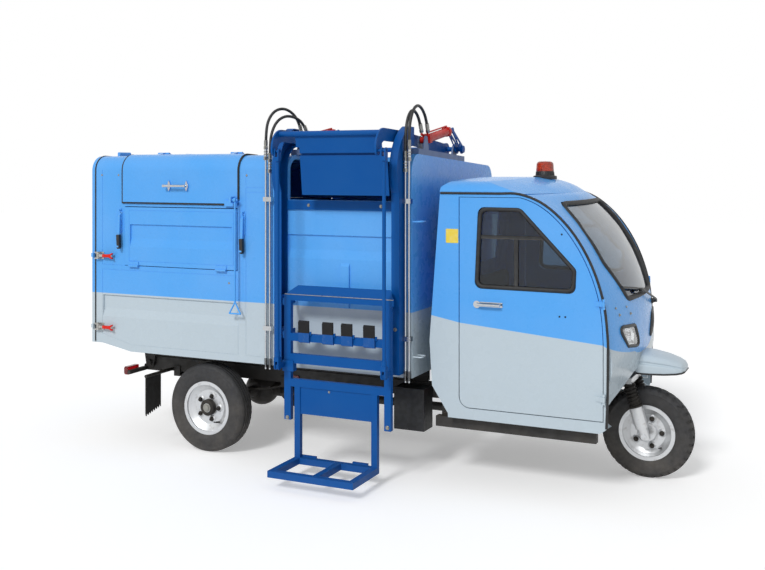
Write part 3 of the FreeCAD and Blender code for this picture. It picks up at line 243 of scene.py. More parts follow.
def makeLatchFinish():
    # flap latches sprayed with the box, tailgate clamps left in bright zinc: split by where they stand
    material = newMaterial("LatchEnamelAndZinc")
    low, high = bodyPaint["clampEnd"]
    painted = spread(material, split(material, place(material))[0], midX + low, midX + high, 0.0, 1.0)
    stain = patchy(material, 0.012, 8.0, 0.0, 0.5, (0.5, 0.75))
    chips = patchy(material, 0.01, 6.0, 0.0, 0.7, (0.6, 0.7))
    bare = blendColours(material, stain, "#B9B8B4", "#6F6A63")
    coat = blendColours(material, chips, bodyPaint["upper"], "#8E9AA5")
    return feed(material, {"Base Color": blendColours(material, painted, bare, coat),
                           "Metallic": spread(material, painted, 0, 1, 0.95, 0.0),
                           "Roughness": spread(material, painted, 0, 1, 0.3, 0.36)})


def makeCombFinish():
    # the comb's teeth: lift enamel below, black moulded rubber blocks on their upper half
    material = newMaterial("CombEnamelAndRubber")
    rubber = spread(material, split(material, place(material))[2], *bodyPaint["combRubber"], 0.0, 1.0)
    worn = patchy(material, 0.02, 7.0, 0.0, 0.16, (0.5, 0.7))
    enamel = blendColours(material, worn, bodyPaint["lift"], "#6D86A3")
    block = blendColours(material, worn, "#151516", "#2E2D2C")
    return feed(material, {"Base Color": blendColours(material, rubber, enamel, block),
                           "Roughness": spread(material, rubber, 0, 1, 0.42, 0.72),
                           "Specular IOR Level": 0.3, "Normal": grain(material, 0.003, 4.0, 0.0003)})


def makeVinyl():
    # calendered vinyl seat cover: black, satin, with a pebbled leather grain of about 2 mm
    material = makeFinish("SeatVinyl", ("#1A1B1D", "#2E2F31"), (0.12, 4.0, 0.0, 0.5, (0.4, 0.7)),
                          (0.08, 4.0, 0.42, 0.6))
    pebbles = addNode(material, "ShaderNodeTexVoronoi", {"Vector": place(material), "Scale": 500.0},
                      feature="DISTANCE_TO_EDGE").outputs["Distance"]
    return feed(material, {"Normal": bump(material, pebbles, 0.0006)})


twoTone = makeTwoToneEnamel()
liftBlue = makePlainEnamel("LiftBlueEnamel", bodyPaint["lift"], "#2F6BA6", 0.25, 0.4, 0.5, 0.08)
mountBlue = makePlainEnamel("MountGreyBlueEnamel", "#65789B", "#8C99AE", 0.6)
skyEnamel = makePlainEnamel("SkyBlueEnamel", bodyPaint["upper"], "#9CC8F2", 0.4, 0.26)
greyEnamel = makePlainEnamel("PaleGreyEnamel", "#BFCDD6", "#D5DEE3", 0.2, 0.26, 0.8, 0.12)
ramRed = makePlainEnamel("RamRedEnamel", "#C2231D", "#E0574B", 0.5, 0.28)
blackSteel = makePlainEnamel("BlackedSteel", "#1A1A1B", "#45433F", 0.4, 0.4)
leverRed = makePlainEnamel("LeverRedDip", "#D8271C", "#E8685C", 0.3, 0.35)
chrome = makePlated("ChromePlate", "#BFC2C5", 0.08, 0.14)
zinc = makePlated("ZincPlate", "#96958F", 0.26, 0.2)
lampChrome = makePlated("ReflectorChrome", "#E4E6E8", 0.04, 0.06)
sealRubber = makeRubber("SealRubber")
hoseRubber = makeRubber("HoseRubber", "#17181A", 0.42)
padRubber = makeRubber("PadRubber", "#1B1A19", 0.7)
blackPlastic = makeRubber("BlackMouldedPlastic", "#101112", 0.38)
chassisBlack = makeChassisBlack()
screenGlass = makeGlass("ScreenGlass", "#8C9BA7")
doorGlass = makeGlass("DoorGlass", "#70879B")
lampLens = makeLampLens("ClearLampLens", "#FBFDFE", 0.98)
beaconLens = makeLampLens("OrangeBeaconLens", "#CC3A0C", 0.6)
tailLens = makeLampLens("RedTailLens", "#B5121B")
latchFinish = makeLatchFinish()
combFinish = makeCombFinish()
seatVinyl = makeVinyl()
# cured tyre rubber: dull charcoal, greyer where dust sits, with a fine moulded grain
tyreRubber = makeFinish("TyreRubber", ("#232426", "#35363A"), (0.05, 7.0, 0.0, 0.55), (0.02, 6.0, 0.62, 0.85),
                        (0.0016, 4.0, 0.0003), (0.6, 0.28))
# aluminium-pigment wheel paint: bright and satin, brown dust in the bowl of the disc
wheelSilver = makeFinish("WheelSilver", ("#CFD1D3", "#8A847C"), (0.03, 8.0, 0.0, 0.6, (0.55, 0.75), 0.65),
                         (0.05, 5.0, 0.28, 0.45), (0.0012, 2.0, 0.00008), metallic=0.75)
# printed vinyl film stuck flat on the paint: even colour, satin, slightly weathered
stickerFilm = makeFinish("StickerFilm", ("#E9CE3C", "#E9E2C0"), (0.02, 5.0, 0.0, 0.3, (0.4, 0.75)),
                         (0.01, 4.0, 0.35, 0.5))
# sand-cast engine case: grey, grainy and oil-stained
castCase = makeFinish("CastCase", ("#6B6A67", "#26231F"), (0.06, 7.0, 0.0, 0.85, (0.42, 0.62)),
                      (0.03, 5.0, 0.5, 0.75), (0.002, 4.0, 0.0006, 0.6), metallic=0.6)

# which frame nodes have which finish; a star stands for either side
finishes = (
    (twoTone, "cab_front cab_sides cab_roof cab_back_wall box_side_* box_roof box_front_wall tailgate"
              " door_* box_lid_* box_flap_*"),
    (chassisBlack, "chassis_frame cross_members rear_axle leaf_springs cab_floor tip_ram_barrel box_floor"),
    (liftBlue, "lift_posts lift_arms tie_rods lift_carriage"), (combFinish, "comb_pads"),
    (mountBlue, "ram_mounts"), (skyEnamel, "pull_rod_*"), (greyEnamel, "front_mudguard"),
    (ramRed, "lift_ram_barrels"), (chrome, "tip_ram_rod lift_ram_rods lift_pipes door_handle_*"),
    (wheelSilver, "front_fork front_rim rear_rim_*"), (tyreRubber, "front_tyre rear_tyre_*"),
    (blackPlastic, "battery_box handlebar"), (padRubber, "mud_flaps"), (castCase, "engine_block"),
    (screenGlass, "cab_glass"), (doorGlass, "door_glass_*"), (lampLens, "headlamps"), (beaconLens, "beacon"),
    (tailLens, "tail_lamps"), (latchFinish, "latches"), (seatVinyl, "seat_pads"),
)
for finish, names in finishes:
    for name in names.split():
        for side in sides if "*" in name else [""]:
            slots = nodes[name.replace("*", side)].data.materials
            slots.clear()
            slots.append(finish)
print("finishes given to the frame nodes")


# Shared ways of making a piece

def clearSelection():
    if bpy.context.object and bpy.context.object.mode != "OBJECT":
        bpy.ops.object.mode_set(mode="OBJECT")
    bpy.ops.object.select_all(action="DESELECT")


def pieceInHand():                       # out of edit mode
    bpy.ops.object.mode_set(mode="OBJECT")
    return bpy.context.object


def finishPiece(name, finish, body, angle=32):
    # puts the active piece's place into its mesh, smooths it and hangs it on its body
    piece = pieceInHand()
    bpy.ops.object.transform_apply(location=True, rotation=True, scale=True)
    bpy.ops.object.shade_smooth_by_angle(angle=math.radians(angle))
    piece.name = name
    piece.data.materials.clear()
    piece.data.materials.append(finish)
    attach(piece, body)
    return piece


def drawLine(points, closed=False):
    # starts from one loose point and extrudes it from place to place
    clearSelection()
    bpy.ops.mesh.primitive_plane_add(size=0.01)
    bpy.ops.object.mode_set(mode="EDIT")
    bpy.ops.mesh.select_mode(type="VERT")
    bpy.ops.mesh.select_all(action="SELECT")
    bpy.ops.mesh.merge(type="CENTER")
    bpy.ops.transform.translate(value=points[0])
    for before, after in zip(points, points[1:] + points[:1] * closed):
        bpy.ops.mesh.extrude_vertices_move(TRANSFORM_OT_translate={"value": Vector(after) - Vector(before)})
    bpy.ops.mesh.select_all(action="SELECT")
    bpy.ops.mesh.remove_doubles(threshold=0.00001)


def extrude(move, scale=(1, 1, 1), about=(0, 0, 0)):
    # pushes out what is selected, then makes its end smaller about a point
    bpy.ops.mesh.extrude_region_move(TRANSFORM_OT_translate={"value": move})
    if scale != (1, 1, 1):
        bpy.ops.transform.resize(value=scale, center_override=about)


def turnOutwards():
    bpy.ops.mesh.select_all(action="SELECT")
    bpy.ops.mesh.normals_make_consistent(inside=False)


def pipeAlong(points, radius, bend=0.0, closed=False, facets=3):
    # a round bar or bead along the line, its corners bent to a radius
    drawLine(points, closed)
    if bend:
        bpy.ops.mesh.bevel(offset=bend, offset_type="OFFSET", segments=5, affect="VERTICES")
    bpy.ops.object.mode_set(mode="OBJECT")
    bpy.ops.object.convert(target="CURVE")
    line = bpy.context.object.data
    line.bevel_depth = radius
    line.bevel_resolution = facets
    line.use_fill_caps = True
    bpy.ops.object.convert(target="MESH")
    return bpy.context.object


def windCoil(low, high, start, radius, wire, turns, perTurn):
    # a wire wound from low to high, starting on the side that start points to
    start = Vector(start)
    across = (high - low).normalized().cross(start)
    steps = turns * perTurn
    points = []
    for i in range(steps + 1):
        turn = 2 * math.pi * i / perTurn
        points.append(low.lerp(high, i / steps) + (start * math.cos(turn) + across * math.sin(turn)) * radius)
    return pipeAlong(points, wire, facets=2)


def turnProfile(centre, axis, profile, steps=32, closed=False):
    # profile points are radius and distance along the axis, spun all the way round
    along = Vector(axis).normalized()
    out = along.orthogonal().normalized()
    centre = Vector(centre)
    drawLine([centre + out * r + along * a for r, a in profile], closed)
    bpy.ops.mesh.spin(steps=steps, angle=2 * math.pi, center=centre, axis=along)
    bpy.ops.mesh.select_all(action="SELECT")
    bpy.ops.mesh.remove_doubles(threshold=0.00002)
    turnOutwards()
    return pieceInHand()


def sidePlate(outline, y, thickness):
    # a plate parallel to the truck's side, its outline given as x and z
    drawLine([spot(x, y, z) for x, z in outline], True)
    bpy.ops.mesh.edge_face_add()
    extrude((0, thickness, 0))
    turnOutwards()
    return pieceInHand()


def startBlock(low, high):
    clearSelection()
    low, high = Vector(low), Vector(high)
    bpy.ops.mesh.primitive_cube_add(size=1, location=(low + high) / 2)
    bpy.context.object.scale = high - low
    bpy.ops.object.transform_apply(location=True, rotation=True, scale=True)
    return bpy.context.object


def pick(kind, test):
    # selects the vertices or polygons of the piece in hand that pass the test
    bpy.ops.object.mode_set(mode="EDIT")
    bpy.ops.mesh.select_mode(type={"vertices": "VERT", "polygons": "FACE"}[kind])
    bpy.ops.mesh.select_all(action="DESELECT")
    for item in getattr(pieceInHand().data, kind):
        item.select = test(item)
    bpy.ops.object.mode_set(mode="EDIT")


def softenEdges(width, segments=2):
    piece = pieceInHand()
    bevel = piece.modifiers.new("soften", "BEVEL")
    bevel.width = width
    bevel.segments = segments
    bevel.limit_method = "ANGLE"
    bevel.angle_limit = math.radians(30)
    bpy.ops.object.modifier_apply(modifier=bevel.name)
    return piece


def joinParts(parts):
    clearSelection()
    for part in parts:
        part.select_set(True)
    bpy.context.view_layer.objects.active = parts[0]
    if len(parts) > 1:
        bpy.ops.object.join()
    return bpy.context.object


def roundedLoop(corners, radius, segments):
    # closed flat outline with its corners rounded over less than half of each side
    loop = []
    count = len(corners)
    for i in range(count):
        corner = Vector(corners[i])
        back = Vector(corners[i - 1]) - corner
        ahead = Vector(corners[(i + 1) % count]) - corner
        reach = min(radius / math.tan(back.angle(ahead) / 2), back.length * 0.48, ahead.length * 0.48)
        start = corner + back.normalized() * reach
        end = corner + ahead.normalized() * reach
        for step in range(segments + 1):
            t = step / segments
            loop.append(tuple(start * (1 - t) ** 2 + corner * 2 * t * (1 - t) + end * t ** 2))
    return loop


def hexHead(centre, axis, across, height):
    # a hexagon head with a turned chamfer, on its washer
    r, washer = across / 1.732, height * 0.2
    return joinParts([
        turnProfile(centre, axis, [(0, 0), (r * 1.25, 0), (r * 1.25, washer), (0, washer)], 20),
        turnProfile(centre, axis, [(0, washer), (r, washer), (r, height * 0.85), (r * 0.86, height),
                                   (0, height)], 6)])


# Hoses: the routes of the four hydraulic hoses, each from its pipe's top over to its cylinder

hoses = {
    "radius": 0.009,
    "lengths": {"rear_a": 0.554, "rear_b": 0.560, "front_a": 0.548, "front_b": 0.561},
    "routes": {
        "rear_a": [(-0.586, -0.742, 1.965), (-0.586, -0.742, 2.055), (-0.584, -0.722, 2.145),
                   (-0.565, -0.672, 2.210), (-0.534, -0.608, 2.228), (-0.504, -0.545, 2.198),
                   (-0.484, -0.503, 2.138), (-0.476, -0.484, 2.070)],
        "rear_b": [(-0.556, -0.742, 1.885), (-0.556, -0.742, 1.975), (-0.554, -0.730, 2.065),
                   (-0.540, -0.690, 2.140), (-0.514, -0.628, 2.178), (-0.482, -0.560, 2.172),
                   (-0.455, -0.500, 2.135), (-0.442, -0.470, 2.070)],
        "front_a": [(0.368, -0.742, 1.890), (0.368, -0.742, 1.980), (0.368, -0.735, 2.070),
                    (0.368, -0.705, 2.150), (0.368, -0.645, 2.195), (0.367, -0.575, 2.180),
                    (0.366, -0.520, 2.125), (0.366, -0.492, 2.065)],
        "front_b": [(0.391, -0.742, 1.955), (0.391, -0.742, 2.045), (0.391, -0.722, 2.130),
                    (0.392, -0.675, 2.200), (0.393, -0.605, 2.225), (0.394, -0.535, 2.195),
                    (0.393, -0.480, 2.135), (0.391, -0.452, 2.065)],
    },
}
fittings = {"nutRadius": 0.0140, "nut": 0.020, "ferrule": 0.0125, "neck": 0.0108, "mouth": 0.0105,
            "grooves": 4, "grooveGap": 0.006, "grooveDepth": 0.0012, "length": 0.056}


def makeFitting(end, towards):
    # union nut, then a ferrule crimped in rings, along the way that the hose leaves
    way = (towards - end).normalized()
    wide, n, r, length = [fittings[key] for key in ("nutRadius", "nut", "ferrule", "length")]
    nut = turnProfile(end, way, [(0, -0.001), (wide * 0.9, -0.001), (wide, 0.001), (wide, n - 0.002),
                                 (wide * 0.88, n), (0, n)], 6)
    profile = [(0, n), (fittings["neck"], n), (fittings["neck"], n + 0.005), (r, n + 0.0065)]
    for groove in range(fittings["grooves"]):
        a, inner = n + 0.010 + groove * fittings["grooveGap"], r - fittings["grooveDepth"]
        profile += [(r, a), (inner, a + 0.001), (inner, a + 0.0028), (r, a + 0.0038)]
    profile += [(r, length - 0.0015), (fittings["mouth"], length), (0, length)]
    return joinParts([nut, turnProfile(end, way, profile, 28)])


def makeHose(name, places):
    route = [spot(*point) for point in places]
    line = bpy.data.curves.new("lift_hose_" + name + "_line", "CURVE")
    line.dimensions = "3D"
    line.resolution_u = 12
    line.bevel_depth = hoses["radius"]
    line.bevel_resolution = 6
    line.use_fill_caps = True
    spline = line.splines.new("NURBS")
    spline.points.add(len(route) - 1)
    for point, there in zip(spline.points, route):
        point.co = (*there, 1)
    spline.order_u = 3
    spline.use_endpoint_u = True
    hose = bpy.data.objects.new("hose_" + name, line)
    bpy.context.scene.collection.objects.link(hose)
    line.materials.append(hoseRubber)
    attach(hose, "bed")
    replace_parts(hose, "lift_hose_" + name)
    joinParts([makeFitting(route[0], route[1]), makeFitting(route[-1], route[-2])])
    fitting = finishPiece("fittings_" + name, zinc, "bed")


for name, places in hoses["routes"].items():
    makeHose(name, places)
print("four hoses routed and their fittings crimped")


# Unions near the tops of the steel pipes, and spring sleeves round their feet

pipes = {
    # low and high edge under the pipe's top, radius and facets of each ring
    "rings": ((-0.068, -0.046, 0.0145, 6), (-0.036, -0.029, 0.0132, 24), (-0.020, -0.013, 0.0132, 24)),
    "chamfer": 0.0015, "sleeve": (0.598, 0.656), "coilRadius": 0.0088, "wire": 0.0020, "turns": 9,
}


def makePipeTrim():
    rings, coils = [], []
    edge = pipes["chamfer"]
    foot, head = pipes["sleeve"]
    for x, y, top in [places[0] for places in hoses["routes"].values()]:
        for low, high, r, steps in pipes["rings"]:
            rings.append(turnProfile(spot(x, y, top), (0, 0, 1),
                                     [(0, low), (r * 0.9, low), (r, low + edge), (r, high - edge),
                                      (r * 0.9, high), (0, high)], steps))
        coils.append(windCoil(spot(x, y, foot), spot(x, y, head), (1, 0, 0), pipes["coilRadius"],
                              pipes["wire"], pipes["turns"], 10))
    joinParts(rings)
    finishPiece("pipe_unions", zinc, "bed")
    joinParts(coils)
    finishPiece("pipe_sleeves", blackSteel, "bed", 60)


makePipeTrim()
print("pipe unions and sleeves fitted")


# Tyres: spun from half a section, then the tread is cut

tyres = {
    "rear": {"steps": 96, "half": [
        (0.160, 0.0495), (0.173, 0.0495), (0.174, 0.057), (0.182, 0.063), (0.200, 0.0685), (0.222, 0.070),
        (0.245, 0.0675), (0.257, 0.063), (0.260, 0.0640), (0.265, 0.0620), (0.275, 0.0555), (0.282, 0.047),
        (0.2842, 0.041), (0.2765, 0.0395), (0.2765, 0.0340), (0.2848, 0.0325), (0.2850, 0.0150),
        (0.2765, 0.0135), (0.2765, 0.0080), (0.2850, 0.0065)]},
    "front": {"steps": 108, "half": [
        (0.152, 0.0395), (0.165, 0.0395), (0.166, 0.047), (0.176, 0.053), (0.195, 0.0580), (0.215, 0.0590),
        (0.233, 0.0568), (0.236, 0.0578), (0.240, 0.0560), (0.247, 0.0525), (0.257, 0.0470),
        (0.2645, 0.0390), (0.2680, 0.0290), (0.2695, 0.0185), (0.2630, 0.0170), (0.2630, 0.0120),
        (0.2700, 0.0105), (0.2700, 0.0030), (0.2655, 0.0020)]},
    "zigzag": 0.005, "ribs": (0.276, 0.0415),                # least radius, and how far out across
    "lugs": (0.245, 0.2692, 0.022), "lugSteps": 3, "lugDepth": 0.006,      # radii, and from where outwards
}


def makeTyre(name, axle, centre, body):
    steps, half = tyres[axle]["steps"], tyres[axle]["half"]
    turnProfile(centre, (0, 1, 0), half + [(r, -a) for r, a in reversed(half)], steps, True)

    def measure(point):                  # radius, distance across and step round the wheel
        away = point - centre
        turn = math.atan2(away.z, away.x) % (2 * math.pi)
        return math.hypot(away.x, away.z), abs(away.y), turn / (2 * math.pi / steps)

    def inRib(vertex):
        r, across, step = measure(vertex.co)
        least, widest = tyres["ribs"]
        return r > least and across < widest and round(step) % 2 == 1

    def betweenLugs(face):
        r, across, step = measure(face.center)
        low, high, inner = tyres["lugs"]
        return low < r < high and across > inner and int(step) % tyres["lugSteps"] == 0

    if axle == "rear":
        pick("vertices", inRib)
        bpy.ops.transform.translate(value=(0, tyres["zigzag"], 0))
    else:
        pick("polygons", betweenLugs)
        bpy.ops.mesh.extrude_region_shrink_fatten(TRANSFORM_OT_shrink_fatten={"value": -tyres["lugDepth"]})
    return finishPiece(name, tyreRubber, body, 40)


for side, s in sides.items():
    tyre = makeTyre("tyre_rear_" + side, "rear", wheelCentre("rear", s), "rear_wheel_" + side)
    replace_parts(tyre, "rear_tyre_" + side)
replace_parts(makeTyre("tyre_front", "front", wheelCentre("front"), "front_wheel"), "front_tyre")
print("tyres spun and cut")


# Wheel nuts, hub caps and valves

wheelParts = {
    # distance out of the wheel's centre plane, then from its axis
    "rear": {"nuts": (0.028, 0.078), "valve": 0.038}, "front": {"nuts": (0.018, 0.084), "valve": 0.022},
    "nutCount": 5, "nutAcross": 0.021, "nutHeight": 0.016,
    "stud": [(0, 0.015), (0.0055, 0.015), (0.0055, 0.023), (0.0045, 0.0245), (0, 0.0245)],
    "valveRadius": 0.118, "valveTurn": -48, "valveLean": 0.25,
    "valveStem": [(0, -0.01), (0.006, -0.01), (0.0055, 0.018), (0.0035, 0.020), (0.0035, 0.028),
                  (0.0042, 0.029), (0.0042, 0.037), (0, 0.038)],
    "hub": [(0, 0.0205), (0.0532, 0.0205), (0.0532, 0.0440), (0.0500, 0.0500), (0.0440, 0.0530),
            (0.0300, 0.0545), (0.0280, 0.0500), (0, 0.0500)],
    "hubCentre": [(0, 0.0495), (0.0270, 0.0495), (0.0270, 0.0550), (0.0215, 0.0565), (0.0190, 0.0615),
                  (0.0120, 0.0640), (0, 0.0645)],
}


def inWheel(degrees):                    # the direction at this turn in the wheel's plane
    turn = math.radians(degrees)
    return Vector((math.cos(turn), 0, math.sin(turn)))


def makeNuts(axle, ending, centre, out, body):
    depth, reach = wheelParts[axle]["nuts"]
    parts = []
    for i in range(wheelParts["nutCount"]):
        foot = centre + out * depth + inWheel(360 / wheelParts["nutCount"] * i) * reach
        parts.append(hexHead(foot, out, wheelParts["nutAcross"], wheelParts["nutHeight"]))
        parts.append(turnProfile(foot, out, wheelParts["stud"], 12))
    joinParts(parts)
    finishPiece("nuts_" + ending, blackSteel, body)


def makeValve(axle, ending, centre, out, body):
    away = inWheel(wheelParts["valveTurn"])
    foot = centre + out * wheelParts[axle]["valve"] + away * wheelParts["valveRadius"]
    turnProfile(foot, out - away * wheelParts["valveLean"], wheelParts["valveStem"], 14)
    finishPiece("valve_" + ending, sealRubber, body)


for side, s in sides.items():
    body, centre, out = "rear_wheel_" + side, wheelCentre("rear", s), Vector((0, s, 0))
    makeNuts("rear", "rear_" + side, centre, out, body)
    turnProfile(centre, out, wheelParts["hub"], 40)
    finishPiece("hub_rear_" + side, blackSteel, body)
    turnProfile(centre, out, wheelParts["hubCentre"], 40)
    finishPiece("hub_centre_" + side, zinc, body)
    makeValve("rear", "rear_" + side, centre, out, body)
for make in (makeNuts, makeValve):
    make("front", "front", wheelCentre("front"), Vector((0, -1, 0)), "front_wheel")
print("wheel nuts, hub caps and valves fitted")


# Front fork: coil springs and dust sleeves over the upper legs

fork = {"rake": 17.3, "legY": 0.112, "spring": (0.440, 0.558), "coilRadius": 0.0335, "wire": 0.0048,
        "turns": 6, "sleeve": 0.0302, "lowerCup": 0.040, "upperCup": 0.036}


def forkSpot(z, y):                      # a point on the leg's axis at this height
    x, middle, axle = axles["front"]
    return spot(x - (z - axle) * math.tan(math.radians(fork["rake"])), y, z)


for side, s in sides.items():
    low, high = [forkSpot(z, s * fork["legY"]) for z in fork["spring"]]
    length, cup, lid = (high - low).length, fork["lowerCup"], fork["upperCup"]
    coil = windCoil(low, high, (0, 1, 0), fork["coilRadius"], fork["wire"], fork["turns"], 14)
    joinParts([coil, turnProfile(low, high - low, [
        (0, -0.006), (cup, -0.006), (cup + 0.001, 0.002), (fork["sleeve"], 0.004), (fork["sleeve"], length),
        (lid, length + 0.002), (lid, length + 0.008), (0, length + 0.008)], 28)])
    finishPiece("fork_spring_" + side, blackSteel, "steering")
print("fork springs wound")


# Black rubber beads: lids, tailgate and cab seam

beads = {
    "lid": 0.0062, "gate": 0.0060, "cabSeam": 0.0072, "window": 0.0130, "screen": 0.0150,
    "lidEdges": (-1.7275, -0.8005), "lidBottom": 1.6135, "frontBottom": 1.645, "lidInner": 0.497,
    "lidProud": 0.0055, "strikeEnd": -0.905, "gateX": -1.9625, "gateBottom": 0.665, "gateInner": 0.30,
    "gateProud": -0.001, "seamY": 0.6605,
    "seam": [(0.556, 1.700), (0.700, 1.700), (0.900, 1.700), (1.039, 1.697), (1.184, 1.638), (1.326, 1.507),
             (1.437, 1.329), (1.508, 1.125), (1.533, 0.930), (1.535, 0.800), (1.533, 0.600), (1.527, 0.424)],
}
loadBox = {"half": 0.720, "corner": 0.100, "roof": 1.930, "slope": 0.05, "slopeFrom": 0.620}


def roofHeight(y):
    return loadBox["roof"] - loadBox["slope"] * (y + loadBox["slopeFrom"])


def boxEdge(s, bottom, inner, grow):
    # one side of the load box's section as y and z: up the side, round the corner, in over the roof
    r, half = loadBox["corner"], loadBox["half"]
    bend = Vector((s * (half - r), roofHeight(s * (half - r)) - r))
    points = [(s * (half + grow), bottom)]
    for i in range(9):
        turn = math.radians(i * 90 / 8)
        points.append((bend.x + s * (r + grow) * math.cos(turn), bend.y + (r + grow) * math.sin(turn)))
    points.append((s * inner, roofHeight(s * inner) + grow))
    return points


def smoothLine(points, steps):
    # a curve through all the points, as a list of points close together
    points = [Vector(p) for p in points]
    ends = [points[0] * 2 - points[1]] + points + [points[-1] * 2 - points[-2]]
    line = []
    for a, b, c, d in zip(ends, ends[1:], ends[2:], ends[3:]):
        for i in range(steps):
            t = i / steps
            line.append(0.5 * ((2 * b) + (c - a) * t + (2 * a - 5 * b + 4 * c - d) * t ** 2
                               + (3 * b - a - 3 * c + d) * t ** 3))
    return line + [points[-1]]


for side, s in sides.items():
    back, front = beads["lidEdges"]
    edge = boxEdge(s, beads["lidBottom"], beads["lidInner"], beads["lidProud"])
    # over the roof and down the back edge, along the bottom as far as the strike plate
    route = [spot(back, y, z) for y, z in reversed(edge)] + [spot(beads["strikeEnd"], *edge[0])]
    edge = boxEdge(s, beads["frontBottom"], beads["lidInner"], beads["lidProud"])
    ahead = [spot(front, y, z) for y, z in edge]
    joinParts([pipeAlong(line, beads["lid"]) for line in (route, ahead)])
    finishPiece("lid_bead_" + side, sealRubber, "bed", 60)
right, left = [boxEdge(s, beads["gateBottom"], beads["gateInner"], beads["gateProud"]) for s in (-1, 1)]
pipeAlong([spot(beads["gateX"], y, z) for y, z in right + left[::-1]], beads["gate"])
finishPiece("tailgate_bead", sealRubber, "bed", 60)
seam = smoothLine(beads["seam"], 5)
for side, s in sides.items():
    pipeAlong([spot(x, s * beads["seamY"], z) for x, z in seam], beads["cabSeam"])
    finishPiece("cab_seam_" + side, sealRubber, "chassis", 60)
print("box and cab beads laid")


# Door windows: a rubber gasket, the rail of the sliding panes and their upright

doorWindow = {
    "corners": [(0.8010, 1.6095), (1.0370, 1.6080), (1.3490, 1.2800), (1.3435, 1.1625), (0.7790, 1.1655)],
    "round": 0.045, "gasketY": 0.6560, "railZ": (1.4400, 1.4610), "railX": (0.785, 1.196),
    "postX": (1.003, 1.027), "postZ": (1.166, 1.441), "barY": (0.6420, 0.6585), "step": 0.001,
    "channel": (0.004, -0.002), "channelFrom": 0.001,
}
for side, s in sides.items():
    body = "cab_door_" + side
    loop = roundedLoop(doorWindow["corners"], doorWindow["round"], 6)
    pipeAlong([spot(x, s * doorWindow["gasketY"], z) for x, z in loop], beads["window"], closed=True)
    finishPiece("window_gasket_" + side, sealRubber, body, 60)
    y0, y1 = sorted(s * y for y in doorWindow["barY"])
    blocks = []
    for key, inset in (("rail", 0.0), ("post", doorWindow["step"])):
        (x0, x1), (z0, z1) = doorWindow[key + "X"], doorWindow[key + "Z"]
        blocks.append(startBlock(spot(x0, y0, z0), spot(x1, y1 - s * inset, z1)))
    joinParts(blocks)
    pick("polygons", lambda face: abs(face.normal.y) > 0.9 and face.area > doorWindow["channelFrom"])
    thickness, depth = doorWindow["channel"]
    bpy.ops.mesh.inset(thickness=thickness, depth=depth, use_individual=True)
    softenEdges(0.0012)
    finishPiece("window_bars_" + side, blackPlastic, body)


# The cab's front, which is round across: height, x in the middle and x at its edge

nose = {"chord": 0.635, "stations": [
    (0.420, 1.572, 1.527), (0.660, 1.602, 1.531), (0.880, 1.614, 1.535), (1.000, 1.612, 1.526),
    (1.142, 1.582, 1.505), (1.278, 1.523, 1.457), (1.400, 1.455, 1.396), (1.546, 1.341, 1.297),
    (1.640, 1.262, 1.184), (1.698, 1.205, 1.045)]}


def onNose(y, z, proud=0.0):
    # the place on the cab's front at this y and height
    stations = nose["stations"]
    for (z0, m0, e0), (z1, m1, e1) in zip(stations, stations[1:]):
        if z <= z1 or z1 == stations[-1][0]:
            t = (z - z0) / (z1 - z0)
            middle, edge = m0 + (m1 - m0) * t, e0 + (e1 - e0) * t
            break
    sag = middle - edge
    radius = (nose["chord"] ** 2 + sag ** 2) / (2 * sag)
    return spot(middle - (radius - math.sqrt(radius ** 2 - y ** 2)) + proud, y, z)


def spaced(loop, gap):
    # more points along a closed flat loop, none further apart than the gap
    more = []
    for a, b in zip(loop, loop[1:] + loop[:1]):
        a, b = Vector(a), Vector(b)
        count = max(1, math.ceil((b - a).length / gap))
        more += [tuple(a.lerp(b, i / count)) for i in range(count)]
    return more


windscreen = {
    "corners": [(-0.466, 1.640), (-0.497, 1.480), (-0.487, 1.314), (-0.331, 1.094), (0.331, 1.094),
                (0.487, 1.314), (0.497, 1.480), (0.466, 1.640)],
    "round": 0.085, "gap": 0.06, "sunk": -0.001,
}
loop = spaced(roundedLoop(windscreen["corners"], windscreen["round"], 5), windscreen["gap"])
pipeAlong([onNose(y, z, windscreen["sunk"]) for y, z in loop], beads["screen"], closed=True)
finishPiece("windscreen_gasket", sealRubber, "chassis", 60)
print("window and windscreen gaskets fitted")


# Headlamps: a black bezel, a chromed bowl with three reflectors, and a clear lens over them

headlamp = {
    "corners": [(0.525, 0.962), (0.258, 0.944), (0.150, 0.805), (0.381, 0.833)],
    "round": 0.030, "gap": 0.03, "middle": (0.325, 0.888), "inset": 0.955, "bezel": 0.0100, "deep": 0.050,
    "reflectors": [(0.418, 0.917, 0.030), (0.372, 0.862, 0.027), (0.268, 0.884, 0.046)],  # y, z and radius
    # profiles as shares of the radius: the dish and the bulb in its middle
    "dish": [(0.45, 0.14), (0.7, 0.34), (0.92, 0.62), (1, 0.74)], "floor": 0.002, "rim": 0.003,
}


